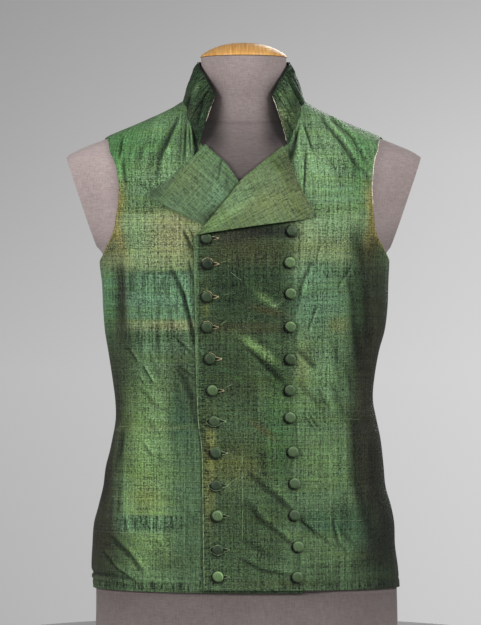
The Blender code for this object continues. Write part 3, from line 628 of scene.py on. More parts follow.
OVER_WASHES = rows(
    Wash,
    (108, 598, 50, 30, -18, "spring", 0.7, 1),
    (134, 590, 24, 16, -30, "leaf", 0.6, 1),
    (90, 570, 40, 32, 0, "spring", 0.85, 1),
    (104, 532, 40, 20, 0, "spring", 0.65, 1),
    (112, 530, 20, 12, 0, "sea", 0.6, 1),
    (136, 560, 14, 40, 0, "leaf", 0.5, 1),
    (96, 478, 48, 30, 0, "olive", 0.75, 2.5),
    (104, 496, 34, 20, 0, "spring", 0.8, 1),
    # Painted shade deep in the pleat below the collar.
    (54.5, 574, 3.6, 17, 8, "night", 0.85, 1.2),
    (64, 440, 10, 16, 0, "olive", 0.6, 1),
    (80, 430, 26, 22, 0, "sea", 0.7, 1.5),
    (86, 396, 36, 22, 0, "sea", 0.7, 1.5),
    (132, 470, 9, 24, 4, "pine", 0.75, 1.2),
    (152, 470, 10, 30, -18, "umber", 0.85, 1.2),
    (149, 488, 6, 28, -18, "gold", 0.6, 1),
    (154, 440, 14, 22, 0, "umber", 0.6, 1),
    (112, 375, 14, 9, 0, "straw", 0.6, 1.5),
    (92, 330, 34, 36, 0, "spring", 0.45, 1.5),
    (68, 326, 12, 30, 0, "straw", 0.45, 1),
    # Painted shade on the +X side as it turns away, and in a fold there.
    (150, 380, 26, 90, 2, "pine", 0.95, 2),
    (160, 370, 20, 80, 4, "bark", 0.8, 2),
    (134, 330, 14, 50, 8, "night", 0.5, 1),
    (152, 300, 24, 70, 0, "bark", 0.95, 2),
    (96, 245, 34, 40, 0, "meadow", 0.15, 1.5),
    (90, 205, 26, 30, 0, "meadow", 0.25, 1.5),
    # Painted shade on the +X side as it turns away.
    (156, 210, 32, 80, 4, "bark", 0.97, 2.5),
    (168, 140, 30, 90, -8, "bark", 0.9, 2),
    (128, 150, 20, 16, 0, "pine", 0.5, 1.5),
    (92, 106, 30, 22, 0, "meadow", 0.25, 1.5),
    (100, 120, 60, 60, 0, "moss", 0.38, 2),
    (96, 240, 40, 40, 0, "moss", 0.18, 1.5),
    # Painted shade low on the +X side.
    (166, 100, 30, 50, 0, "night", 0.8, 1.8),
    (130, 132, 16, 20, 40, "teal", 0.5, 1),
    # Painted shade along the +X side.
    (176, 120, 20, 110, 0, "night", 0.85, 1.5),
    (166, 260, 22, 70, 0, "night", 0.45, 1.5),
    (120, 78, 60, 14, 0, "moss", 0.5, 1.5),
    (4, 330, 54, 170, 0, "moss", 0.95, 5),
    (4, 462, 50, 20, 0, "earth", 0.7, 2),
    # Painted shadow below the over-lapel's lower edge.
    (20, 484, 38, 8.5, 4, "night", 0.95, 1.6),
    (-20, 478, 30, 10, 0, "bark", 0.6, 1.2),
    (2, 414, 50, 30, 0, "pine", 0.6, 2),
    (2, 372, 52, 7, 0, "earth", 0.7, 2),
    # Painted shade in the crease of a slanting fold.
    (30, 322, 22, 5, -44, "night", 0.5, 1),
    # Painted highlights on the ridges of slanting folds, and thin pale lines along them.
    (17, 347, 27, 5.5, -37, "meadow", 0.75, 1.2),
    (-2, 352.5, 6, 1.2, -38, "mint", 0.7, 1),
    (26, 404.5, 15, 4, -39, "meadow", 0.6, 1),
    (36, 397.5, 3.6, 2.2, -30, "mint", 0.6, 1),
    (28, 392, 22, 4, -14, "umber", 0.45, 1),
    # Painted highlights on fold ridges.
    (18, 309, 19, 8, -56, "meadow", 0.55, 1),
    (-10, 314, 18, 2.2, -32, "leaf", 0.5, 1),
    (31, 291, 19, 8, -30, "meadow", 0.55, 1),
    (50, 268, 9, 14, 0, "meadow", 0.4, 1),
    # Painted highlights on fold ridges.
    (27, 154, 17, 7, -45, "meadow", 0.65, 1),
    (40, 182, 12, 7, -20, "meadow", 0.4, 1),
    (28, 97, 20, 5, -28, "spring", 0.55, 1),
    (0, 296, 40, 16, 0, "earth", 0.55, 1.5),
    (0, 240, 52, 90, 0, "moss", 0.6, 3),
    (2, 262, 46, 30, 0, "base", 0.45, 1.5),
    (40, 250, 18, 60, 0, "leaf", 0.35, 1),
    (22, 252, 20, 4, -38, "umber", 0.5, 1.2),
    (-12, 206, 36, 26, 0, "straw", 0.4, 1),
    (-2, 120, 54, 60, 0, "moss", 0.75, 2.5),
    (10, 180, 50, 14, 0, "base", 0.4, 1.5),
    (-40, 200, 7, 60, 0, "straw", 0.6, 1.5),
    (-38, 240, 6, 14, 0, "straw", 0.6, 1),
    (-44, 400, 6, 70, 0, "moss", 0.6, 1.5),
    (-44, 400, 5, 16, 0, "straw", 0.35, 1),
    (-50, 150, 4, 90, 0, "earth", 0.4, 1.5),
    (30, 70, 60, 6, 0, "earth", 0.4, 2),
    (96, 140, 30, 12, -8, "teal", 0.7, 2),
)
BACK_WASHES = rows(
    Wash,
    (0, 600, 130, 34, 0, "leaf", 0.8, 1),
    (-150, 580, 34, 36, 14, "leaf", 0.7, 1),
    (156, 585, 30, 40, 0, "leaf", 0.8, 1),
    (0, 540, 120, 22, 0, "spring", 0.5, 1.5),
    (0, 474, 110, 34, 0, "olive", 0.6, 3),
    (0, 409, 130, 27, 0, "sea", 0.6, 3),
    (0, 375, 130, 6, 0, "olive", 0.5, 3),
    (0, 310, 120, 50, 0, "base", 0.5, 1.5),
    (0, 268, 60, 24, 0, "moss", 0.5, 1),
    (40, 200, 46, 60, 0, "meadow", 0.5, 1),
    (-56, 190, 40, 60, 0, "meadow", 0.4, 1),
    (0, 142, 130, 9, 0, "teal", 0.5, 3),
    (0, 96, 130, 20, 0, "meadow", 0.3, 1.5),
    # Darker moss at both sides: painted shade of the sides, as on the fronts.
    (-152, 290, 26, 150, 4, "moss", 0.8, 1.5),
    (148, 320, 32, 150, -3, "moss", 0.65, 1.5),
    (-168, 140, 24, 100, 0, "moss", 0.7, 1.5),
    (168, 140, 24, 100, 0, "moss", 0.7, 1.5),
    (0, 66, 170, 5, 0, "moss", 0.5, 2),
)
OVER_LAPEL_WASHES = rows(
    Wash,
    (30, 530, 60, 60, 0, "olive", 0.22, 1),
    (60, 512, 22, 12, 0, "straw", 0.2, 1),
    (24, 516, 26, 12, 20, "straw", 0.3, 1),
    (64, 540, 5, 26, 20, "umber", 0.35, 1),
    (52, 556, 8, 22, 10, "earth", 0.6, 1),
    (36, 566, 12, 12, 0, "moss", 0.45, 1),
    (-8, 520, 26, 12, 40, "spring", 0.4, 1),
    (-30, 496, 16, 6, 30, "meadow", 0.5, 1),
)
UNDER_LAPEL_WASHES = rows(
    Wash,
    (-40, 545, 26, 26, 0, "base", 0.5, 1),
    (-66, 545, 20, 22, 0, "straw", 0.25, 1),
    (-70, 535, 60, 50, 0, "moss", 0.22, 1),
    (-104, 532, 9, 8, 0, "moss", 0.7, 2),
    (-30, 520, 16, 22, 0, "sea", 0.35, 1),
    (-14, 540, 8, 24, 30, "moss", 0.5, 1),
    (-44, 500, 18, 10, 0, "moss", 0.55, 1),
    # Painted shadow of the over-lapel's fold on the under-lapel.
    (-24, 512, 6, 22, -42, "night", 0.75, 1.2),
    (-40, 499, 10, 7, 0, "night", 0.5, 1),
)

# Where the cloth is gathered: short upright folds, a stipple of small puckers, and level ticks
Gather = namedtuple("Gather", "x z wide high folds dots ticks crisp")
UNDER_GATHERS = rows(
    Gather,
    (-110, 560, 60, 50, 0.5, 1.2, 0.0, 1),
    (-104, 540, 60, 5, 0.4, 0.8, 0.0, 2),
    (-110, 512, 56, 5, 0.4, 1.0, 0.0, 2),
    (-116, 476, 50, 12, 0.2, 1.0, 0.0, 2),
    (-106, 455, 60, 14, 0.2, 0.5, 0.0, 2),
    (-104, 425, 56, 14, 0.8, 0.3, 0.0, 2),
    (-100, 400, 56, 16, 0.5, 0.4, 0.0, 1.5),
    (-100, 362, 56, 10, 0.9, 0.5, 0.0, 2),
    (-104, 320, 50, 30, 0.3, 0.6, 0.0, 1),
    (-104, 250, 50, 40, 0.2, 0.6, 0.0, 1),
    (-110, 190, 44, 40, 0.2, 0.7, 0.0, 1),
    (-106, 140, 46, 9, 1.4, 0.6, 0.0, 3),
    (-106, 110, 50, 26, 0.3, 0.5, 0.0, 1),
    (-116, 66, 76, 5, 2.0, 0.0, 0.0, 3),
)
OVER_GATHERS = rows(
    Gather,
    (106, 580, 50, 44, 0.5, 1.2, 0.0, 1),
    (112, 560, 14, 14, 0.2, 0.9, 0.0, 1),
    (100, 512, 50, 5, 0.4, 0.9, 0.0, 2),
    (110, 470, 44, 22, 0.2, 0.9, 0.0, 1.5),
    (120, 436, 34, 6, 0.9, 0.6, 0.0, 2),
    (92, 400, 36, 30, 0.3, 0.6, 0.0, 1),
    (96, 330, 40, 40, 0.2, 0.7, 0.0, 1),
    (100, 262, 44, 10, 0.3, 1.0, 0.0, 1.5),
    (106, 200, 44, 30, 0.2, 0.6, 0.0, 1),
    (104, 150, 44, 16, 0.3, 0.9, 0.0, 1),
    (120, 92, 50, 5, 0.5, 0.9, 0.0, 2),
    (110, 67, 76, 5, 1.6, 0.2, 0.0, 3),
    (4, 416, 46, 70, 0.4, 1.1, 0.2, 2),
    (4, 200, 46, 140, 0.4, 1.1, 0.1, 3),
    (-49, 270, 5, 215, 0.0, 0.2, 1.3, 3),
    (-44, 250, 5, 60, 0.0, 0.2, 0.9, 1.5),
    (-42, 170, 5, 90, 0.0, 0.2, 0.9, 1.5),
    (-42, 100, 4, 40, 0.0, 0.2, 0.5, 1.5),
    (0, 70, 50, 6, 0.6, 0.2, 0.0, 2),
)
BACK_GATHERS = rows(
    Gather,
    (0, 610, 130, 30, 0.6, 0.6, 0.0, 1),
    (0, 512, 120, 6, 0.4, 0.8, 0.0, 2),
    (0, 468, 110, 18, 0.2, 0.7, 0.0, 2),
    (0, 425, 130, 14, 0.7, 0.3, 0.0, 2),
    (0, 362, 130, 10, 0.7, 0.4, 0.0, 2),
    (0, 260, 120, 60, 0.2, 0.5, 0.0, 1),
    (0, 143, 130, 8, 0.8, 0.4, 0.0, 2),
    (0, 66, 170, 5, 1.0, 0.2, 0.0, 2),
)
COLLAR_CREASES = rows(
    Crease,
    (-50, 668, 1.8, -60, 640, 2.2, 1.0, 0.0),
    (-42, 652, 1.6, -58, 628, 2.0, -1.4, 0.5),
    (-56, 640, 1.6, -64, 618, 1.8, 1.0, 0.0),
    (-62, 650, 2.0, -70, 622, 2.2, -1.0, 0.4),
    (-48, 640, 2.0, -54, 614, 2.0, -1.2, 0.5),
    (36, 640, 1.6, 50, 618, 1.8, 0.9, 0.0),
    (42, 646, 1.4, 56, 620, 1.6, -1.0, 0.5),
    (46, 672, 1.6, 62, 640, 2.0, 0.9, 0.0),
    (52, 668, 1.6, 70, 632, 2.0, -1.2, 0.5),
    (62, 640, 1.6, 66, 616, 1.8, 0.9, 0.0),
    (48, 620, 1.4, 58, 604, 1.6, -1.2, 0.6),
    (56, 624, 1.4, 62, 606, 1.6, 0.9, 0.0),
)
COLLAR_WASHES = rows(
    Wash,
    (-56, 656, 7, 18, -38, "base", 0.55, 1),
    (-49, 636, 9, 9, 0, "night", 0.6, 1),
    (-62, 624, 8, 12, 0, "mud", 0.45, 1),
    (-42, 650, 5, 9, 0, "moss", 0.5, 1),
    (49, 648, 9, 20, 0, "base", 0.9, 1.3),
    (57, 620, 12, 14, 0, "sage", 0.75, 1),
    (67, 645, 6, 26, 0, "moss", 0.5, 1),
    (44, 614, 6, 20, 0, "olive", 0.5, 1),
)
LAPEL_GATHERS = rows(
    Gather,
    (60, 510, 26, 16, 0.0, 0.5, 0.0, 1),
    (20, 520, 90, 60, 0.0, -0.5, 0.0, 2),
    (46, 562, 12, 16, 0.3, 0.8, 0.2, 1),
    (-40, 505, 20, 14, 0.8, 0.4, 0.0, 1),
    (-60, 540, 60, 40, 0.0, -0.6, 0.0, 2),
)


# Thick pale threads in the weave, and thin pale strands that paint highlights on small ridges, as points of
# x and z on a front, 1 for the over-front
PaleStrand = namedtuple("PaleStrand", "side radius points")
SLUBS_AND_HIGHLIGHTS = [
    PaleStrand(1, 0.32, ((85.6, 559), (91, 524), (95.5, 491), (96, 451))),
    PaleStrand(1, 0.26, ((-1.5, 228), (-1.2, 180), (-1.8, 121))),
    PaleStrand(1, 0.22, ((98, 404), (100, 300), (101, 200), (103, 80))),
    PaleStrand(1, 0.18, ((119, 474), (118.5, 360), (120, 205))),
    # From here to the row at x 38 to 45: pale strands that paint highlights on small ridges by the
    # buttonholes and on the slanting folds.
    PaleStrand(1, 0.24, ((-26, 448.5), (-14, 452.5))),
    PaleStrand(1, 0.24, ((-23, 410), (-12, 414.5))),
    PaleStrand(1, 0.24, ((-27, 375.5), (-19, 380.5))),
    PaleStrand(1, 0.24, ((-20.5, 302), (-12.5, 306))),
    PaleStrand(1, 0.3, ((-6.5, 356), (-1, 352), (2.5, 349))),
    PaleStrand(1, 0.24, ((-19.5, 186), (-0.5, 200))),
    PaleStrand(1, 0.24, ((-17.5, 183), (1.5, 197))),
    PaleStrand(1, 0.22, ((-15, 437), (-8, 431), (-3, 428))),
    PaleStrand(1, 0.22, ((38, 398), (45, 404))),
    PaleStrand(1, 0.24, ((63, 640), (57, 620), (53, 600))),
    PaleStrand(-1, 0.24, ((-64.8, 608), (-64.4, 590), (-65, 572))),
    PaleStrand(-1, 0.24, ((-62.4, 607), (-61.6, 590), (-62, 573))),
    PaleStrand(-1, 0.24, ((-59.5, 604), (-55, 590), (-51, 580))),
    PaleStrand(1, 0.2, ((78, 520), (80, 486), (80, 452))),
    PaleStrand(-1, 0.26, ((-148, 252.6), (-130, 255), (-111, 256.3))),
    PaleStrand(-1, 0.26, ((-141, 150.4), (-112, 149.6), (-84, 150.2))),
    PaleStrand(-1, 0.2, ((-92, 300), (-93, 220), (-92, 150))),
    PaleStrand(-1, 0.22, ((-152, 129), (-118, 128.6), (-86, 129.4))),
    PaleStrand(-1, 0.2, ((-156, 170.5), (-134, 171))),
    PaleStrand(-1, 0.2, ((-154, 167.5), (-132, 168))),
    PaleStrand(1, 0.2, ((100, 232), (101, 205), (103, 172))),
    PaleStrand(1, 0.2, ((119, 222), (120, 184))),
    PaleStrand(1, 0.2, ((70, 142.5), (112, 143.5), (140, 143))),
    PaleStrand(-1, 0.2, ((-70, 228), (-69, 160), (-70, 92))),
    PaleStrand(1, 0.2, ((70, 262), (110, 264), (138, 262))),
]


def curve(table, key, column, at):
    """The value of a column between the table's rows, on one smooth curve through them."""
    keys = np.array([getattr(row, key) for row in table], float)
    values = np.array([getattr(row, column) for row in table], float)
    return through(keys, values, at)


def through(keys, values, at):
    at = np.clip(at, keys[0], keys[-1])
    i = np.clip(np.searchsorted(keys, at, side="right") - 1, 0, len(keys) - 2)
    slopes = np.empty_like(values)
    slopes[1:-1] = (values[2:] - values[:-2]) / (keys[2:] - keys[:-2])
    slopes[0] = (values[1] - values[0]) / (keys[1] - keys[0])
    slopes[-1] = (values[-1] - values[-2]) / (keys[-1] - keys[-2])
    span = keys[i + 1] - keys[i]
    t = (at - keys[i]) / span
    return (
        values[i] * (2 * t**3 - 3 * t**2 + 1)
        + slopes[i] * span * (t**3 - 2 * t**2 + t)
        + values[i + 1] * (3 * t**2 - 2 * t**3)
        + slopes[i + 1] * span * (t**3 - t**2)
    )


def level(name, height):
    return curve(SECTIONS, "height", name, height)


def unit(vectors):
    return vectors / np.linalg.norm(vectors, axis=-1, keepdims=True)


def skin(angle, height):
    """The skin's points at angles and heights, with no layer on it."""
    angle, height = np.broadcast_arrays(np.asarray(angle, float), np.asarray(height, float))
    sine, cosine = np.sin(np.radians(angle)), np.cos(np.radians(angle))
    half = np.where(sine > 0, level("right", height), level("left", height))
    depth = np.where(cosine > 0, -level("front", height), level("back", height))
    return np.stack([half * sine, depth * np.abs(cosine) ** level("taper", height), height], -1)


def outward(angle, height):
    """The skin's directions away from the figure."""
    across = skin(angle + 0.6, height) - skin(angle - 0.6, height)
    up = skin(angle, height + 0.8) - skin(angle, height - 0.8)
    return unit(np.cross(across, up))


def angle_at(x, height):
    """The angle of a place on the front that is seen at x."""
    half = np.where(np.asarray(x) > 0, level("right", height), level("left", height))
    return np.degrees(np.arcsin(np.clip(x / half, -1, 1)))


def ramp(value, low, high):
    """0 below low, 1 above high, and smooth between."""
    t = np.clip((value - low) / (high - low), 0, 1)
    return t * t * (3 - 2 * t)


def bell(value, width):
    """1 at 0, falling off smoothly to both sides over a width."""
    return np.exp(-((value / width) ** 2))


def fold_height(folds, x, z):
    """How far the folds of a table lift the cloth."""
    lift = np.zeros_like(x)
    for fold in folds:
        run, drop = fold.x2 - fold.x1, fold.z2 - fold.z1
        square = run * run + drop * drop
        t = ((x - fold.x1) * run + (z - fold.z1) * drop) / square
        side = ((x - fold.x1) * drop - (z - fold.z1) * run) / math.sqrt(square)
        ends = ramp(t, -0.25, 0.15) * (1 - ramp(t, 0.85, 1.25))
        lift += fold.depth * ends * bell(side, fold.width)
    return lift


def crease_height(creases, x, z):
    """How far the creases of a table lift the cloth."""
    lift = np.zeros_like(x)
    for crease in creases:
        run, drop = crease.x2 - crease.x1, crease.z2 - crease.z1
        length = math.hypot(run, drop)
        t = ((x - crease.x1) * run + (z - crease.z1) * drop) / length**2
        side = ((z - crease.z1) * run - (x - crease.x1) * drop) / length
        width = crease.wide1 + (crease.wide2 - crease.wide1) * np.clip(t, 0, 1)
        ends = ramp(t, -0.25, 0.2) * (1 - ramp(t, 0.75, 1.3))
        lift += crease.depth * ends * bell(side, width)
        if crease.lip:
            beside = (side - math.copysign(LIP_AWAY, crease.lip) * width) / width
            lift -= crease.depth * abs(crease.lip) * ends * np.exp(-(beside**2))
    return lift


def relief(angle, height):
    """The largest folds, which every layer shares."""
    from_middle = (180 - np.abs(angle)) / 80
    wave = np.cos((height - SMALL_OF_BACK) / 26 * math.pi) * bell(height - SMALL_OF_BACK, 55)
    behind = np.where(from_middle < 1, -wave * (1 - from_middle), 0)
    return np.where(np.abs(angle) > 90, behind, fold_height(FOLDS, skin(angle, height)[..., 0], height))


def over_lift(angle, height):
    """How far the over-front stands off the skin: it covers the under-front and the under-lapel."""
    overlap = (1 - ramp(angle, 24, 38)) * (1 - ramp(height, 545, 578))
    covers_lapel = ramp(height, 452, 474)
    x = skin(angle, height)[..., 0]
    return (CLOTH + LAYER_GAP) * overlap * (1 + covers_lapel) + fold_height(OVER_FOLDS, x, height)


def under_lift(angle, height):
    """The under-front and the backs lie straight on the skin."""
    return np.zeros_like(height)


def kept_above(out, floor):
    """out, eased so that it never sinks below floor."""
    return floor + np.logaddexp(0, 5 * (out - floor)) / 5


def on_skin(angle, height, out):
    return skin(angle, height) + outward(angle, height) * (out + relief(angle, height))[..., None]


def tone(name):
    """A colour of the silk in linear light."""
    share = np.array(TONES[name]) / 255
    return np.where(share > 0.04045, ((share + 0.055) / 1.055) ** 2.4, share / 12.92)


def washed(washes, x, z, ground="base"):
    """The silk's colour at places seen from the front, with the painted shade and highlights of some washes.
    """
    colour = np.tile(tone(ground), (len(x), 1))
    for wash in washes:
        turn = math.radians(wash.turn)
        across = (x - wash.x) * math.cos(turn) + (z - wash.z) * math.sin(turn)
        up = (z - wash.z) * math.cos(turn) - (x - wash.x) * math.sin(turn)
        far = np.abs(across / wash.wide) ** (2 * wash.crisp) + np.abs(up / wash.high) ** (2 * wash.crisp)
        share = (wash.strength * np.exp(-far))[:, None]
        colour = colour * (1 - share) + tone(wash.tone) * share
    return colour


def gathered(gathers, x, z):
    """How strongly the cloth is gathered at places seen from the front: folds, dots and ticks."""
    amount = np.zeros((len(x), 3))
    for g in gathers:
        far = np.abs((x - g.x) / g.wide) ** (2 * g.crisp) + np.abs((z - g.z) / g.high) ** (2 * g.crisp)
        amount += np.exp(-far)[:, None] * np.array([g.folds, g.dots, g.ticks])
    return amount


def painted_crease_shade(crumple):
    """Painted shade and highlight: the cloth is darker deep in a crease and paler on a ridge."""
    return np.clip(np.where(crumple < 0, np.exp(0.5 * crumple), 1 + 0.26 * crumple), 0.12, 1.5)


def painted_button_shade(x, z):
    """Painted shade: the cloth is darker close to each button and inside its buttonhole."""
    shade = np.ones_like(x)
    for button in FREE_ROW + FAST_ROW:
        across, up = x - button.x, z - button.z
        shade = shade * (1 - 0.4 * bell(np.hypot(across + 0.8, up + 0.8) - BUTTON_RADIUS, 2.6))
    for button in FREE_ROW:
        hole = ((x - button.x - 9.0) / 3.6) ** 2 + ((z - button.z) / 1.7) ** 2
        shade = shade * (1 - 0.85 * np.exp(-(hole**2)))
    return shade


def button_ring(x, z):
    """How far inside the thin shadow round the nearest button a place is, and how dark it is there."""
    reach = 4.0
    inside, dark = np.full(len(x), -reach), np.zeros(len(x))
    for button in FREE_ROW + FAST_ROW:
        across, up = x - button.x, z - button.z
        far = np.hypot(across, up) + 0.01
        lower_left = -(0.88 * across + 0.47 * up) / far
        depth = np.clip(BUTTON_EDGE + lower_left - far, -reach, reach)
        nearer = depth > inside
        inside = np.where(nearer, depth, inside)
        dark = np.where(nearer, np.clip(0.5 + 0.5 * lower_left, 0.12, 1), dark)
    return np.stack([(inside + reach) / (2 * reach), dark, 0 * x], -1)


def as_mesh(body, name):
    """The shape as a smooth mesh."""
    mesh = bpy.data.meshes.new(name)
    body.to_mesh(mesh)
    body.free()
    mesh.shade_smooth()
    return mesh


def shape_of(mesh):
    body = bmesh.new()
    body.from_mesh(mesh)
    return body


def closed(body):
    """The shape with its doubled points merged and its faces turned outward."""
    bmesh.ops.remove_doubles(body, verts=body.verts, dist=MERGE)
    bmesh.ops.recalc_face_normals(body, faces=body.faces)
    return body


def turned(outline, steps, foot=0.0):
    """A closed shape turned from an outline of radii and heights, its foot at a height."""
    body = bmesh.new()
    dots = [body.verts.new((radius * MM, 0, (height + foot) * MM)) for radius, height in outline]
    lines = [body.edges.new(pair) for pair in zip(dots, dots[1:])]
    around = {"cent": (0, 0, 0), "axis": (0, 0, 1), "angle": 2 * math.pi}
    bmesh.ops.spin(body, geom=dots + lines, steps=steps, use_merge=True, **around)
    return closed(body)


def sheet_mesh(name, columns, lines, place, close=False):
    """A grid whose every vertex lies where place says. u and v run from 0 to 1 across and up it.

    place gives points in millimetres, and may give the cloth's own lengths, its colour, its gathers
    and the shadow ring of its buttons.
    """
    body = bmesh.new()
    bmesh.ops.create_grid(body, x_segments=columns, y_segments=lines, size=0.5)
    flat = np.array([v.co[:2] for v in body.verts]) + 0.5
    laid = place(flat[:, 0], flat[:, 1])
    points = laid["points"] * MM
    for vertex, point in zip(body.verts, points):
        vertex.co = point
    mesh = as_mesh(body, name)
    corners = np.empty(len(mesh.loops), int)
    mesh.loops.foreach_get("vertex_index", corners)
    if "lengths" in laid:
        layer = mesh.uv_layers.new(name="cloth")
        layer.data.foreach_set("uv", (laid["lengths"] * MM)[corners].ravel())
    for key in ("painted", "gathers", "ring"):
        if key in laid:
            layer = mesh.color_attributes.new(name=key, type="FLOAT_COLOR", domain="POINT")
            layer.data.foreach_set("color", np.hstack([laid[key], np.ones((len(points), 1))]).ravel())
    if close:
        body = closed(shape_of(mesh))
        body.to_mesh(mesh)
        body.free()
        mesh.shade_smooth()
    return mesh


def turned_over(mesh):
    body = shape_of(mesh)
    bmesh.ops.reverse_faces(body, faces=body.faces)
    body.to_mesh(mesh)
    body.free()
    return mesh


def show(name, mesh, finish, node=None, thickness=0):
    """A piece of the waistcoat in the scene, in place of its solid."""
    piece = bpy.data.objects.new(name, mesh)
    bpy.context.scene.collection.objects.link(piece)
    mesh.materials.append(finish)
    if thickness:
        wall = piece.modifiers.new("Cloth", "SOLIDIFY")
        wall.thickness = thickness * MM
        wall.offset = -1
    if node:
        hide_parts(node)
    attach(piece, "root")
    return piece


def run_length(points):
    """The length along a line of points, from its first one to each."""
    return np.concatenate([[0], np.cumsum(np.linalg.norm(np.diff(points, axis=0), axis=1))])


def free_edge(height):
    """Where the over-front's free edge is seen."""
    return curve(OVER_FRONT[:12], "inner_z", "inner_x", height)


def cloth_length(angle, height):
    """The length of cloth from the centre front to an angle, about, so that the warp hangs upright."""
    turn = np.radians(angle)
    half = np.where(turn > 0, level("right", height), level("left", height))
    turn = np.where(np.abs(angle) > SIDE_SEAM, turn - np.sign(turn) * math.pi, turn)
    return (0.8 * turn + 0.1 * np.sin(2 * turn)) * half


def cloth_height(height):
    """The length of cloth from the ground up to a height, longer where the shoulders slope."""
    heights = np.linspace(40, 700, 133)
    slope = np.stack([heights, 0.55 * level("right", heights)], -1)
    return np.interp(height, heights, run_length(slope))


def outline_ends(stations, shoulder, inner_angle):
    """Both sides of a front or back, row by row, as angles and heights: the inner one, then the outer."""
    ends = [(inner_angle(s), s.inner_z, s.outer_angle, s.outer_z) for s in stations]
    for s in shoulder:
        foot = float(curve(NECKLINE, "angle", "height", s.neck_angle))
        ends.append((s.neck_angle, foot, s.outer_angle, s.outer_z))
    return np.array(ends, float)


def front_ends(stations):
    return outline_ends(stations, FRONT_SHOULDER, lambda s: float(angle_at(s.inner_x, s.inner_z)))


def back_ends():
    return outline_ends(BACK, BACK_SHOULDER, lambda s: 180)


def panel(name, ends, side, lift, tables, spacing, columns, lines, from_edge=0.0):
    """A front or back over the skin. side is 1 for +X and -1 for -X.

    from_edge keeps a front's grid clear of the round fold of its lapel.
    """
    creases, washes, gathers = tables
    inner, outer = skin(ends[:, 0], ends[:, 1]), skin(ends[:, 2], ends[:, 3])
    keys = (run_length(inner) + run_length(outer)) / 2

    def place(u, v):
        at = v * keys[-1]
        inner_angle, inner_z, outer_angle, outer_z = (through(keys, ends[:, n], at) for n in range(4))
        width = np.linalg.norm(skin(inner_angle, inner_z) - skin(outer_angle, outer_z), axis=-1)
        share = np.interp(u, *spacing)
        start = from_edge * ramp(inner_z, LAPEL_FOOT, LAPEL_FOOT + 12) / width
        share = start + (1 - start) * share
        angle = side * (inner_angle + (outer_angle - inner_angle) * share)
        height = inner_z + (outer_z - inner_z) * share
        x = skin(angle, height)[:, 0]
        crumple = crease_height(creases, x, height)
        from_outer = (1 - share) * width
        from_inner = share * width
        seam = -0.7 * bell(from_outer, 2.2)
        turned_up = 0.5 * (1 - ramp(height, HEM + 8, HEM + 10))
        sewn_in = 0.8 * bell(height - HEM - HEM_STITCHES, 1.3)
        rolled = -0.7 * (1 - ramp(from_inner, 0, 1.4))
        raised = lift(angle, height)
        floor = SHELL + 0.4 - level("ease", height) - relief(angle, height)
        if lift is over_lift:
            covers = (1 - ramp(angle, 20, 24)) * (1 - ramp(height, 540, 548))
            floor = np.maximum(floor, covers * (CLOTH + SHELL + 0.2) - 9 * (1 - covers))
        out = kept_above(raised + CLOTH + crumple + seam + (turned_up - sewn_in) + rolled, floor)
        colour = washed(washes, x, height)
        # Round the side seams the colour goes to a dark moss green, which carries the painted shade of the
        # fronts' turned-away sides round to the backs.
        turn = np.abs(angle)
        beside = (0.78 * ramp(turn, 87, 100) * (1 - ramp(turn, 104, 132)))[:, None]
        colour = colour * (1 - beside) + 1.15 * tone("moss") * beside
        low_armhole = ramp(height, 452, 470) * (1 - ramp(height, 520, 560))
        rim = (0.9 * bell(from_outer, 11) * low_armhole)[:, None]
        colour = colour * (1 - rim) + tone("gold") * rim
        # Painted shade in the creases and painted highlights on their ridges; on the over-front, painted
        # shadows round the buttons and in the buttonholes.
        shade = painted_crease_shade(crumple)
        if lift is over_lift:
            shade = shade * painted_button_shade(x, height)
        elif from_edge:
            # On the under-front, a painted shadow beside the over-front's free edge.
            over_edge = free_edge(height)
            painted_edge_shadow = ramp(x, over_edge - 3.6, over_edge - 0.6)
            shade = shade * (1 - 0.55 * painted_edge_shadow * (1 - ramp(height, LAPEL_FOOT, LAPEL_FOOT + 10)))
        warp_place = side * cloth_length(angle, height) + (0 if side > 0 else WEAVE_SHIFT)
        laid_cloth = {
            "points": on_skin(angle, height, out),
            "lengths": np.stack([warp_place, cloth_height(height)], -1),
            "painted": colour * shade[:, None],
            "gathers": gathered(gathers, x, height),
        }
        if lift is over_lift:
            laid_cloth["ring"] = button_ring(x, height)
        return laid_cloth

    mesh = sheet_mesh(name, columns, lines, place)
    return turned_over(mesh) if side < 0 else mesh


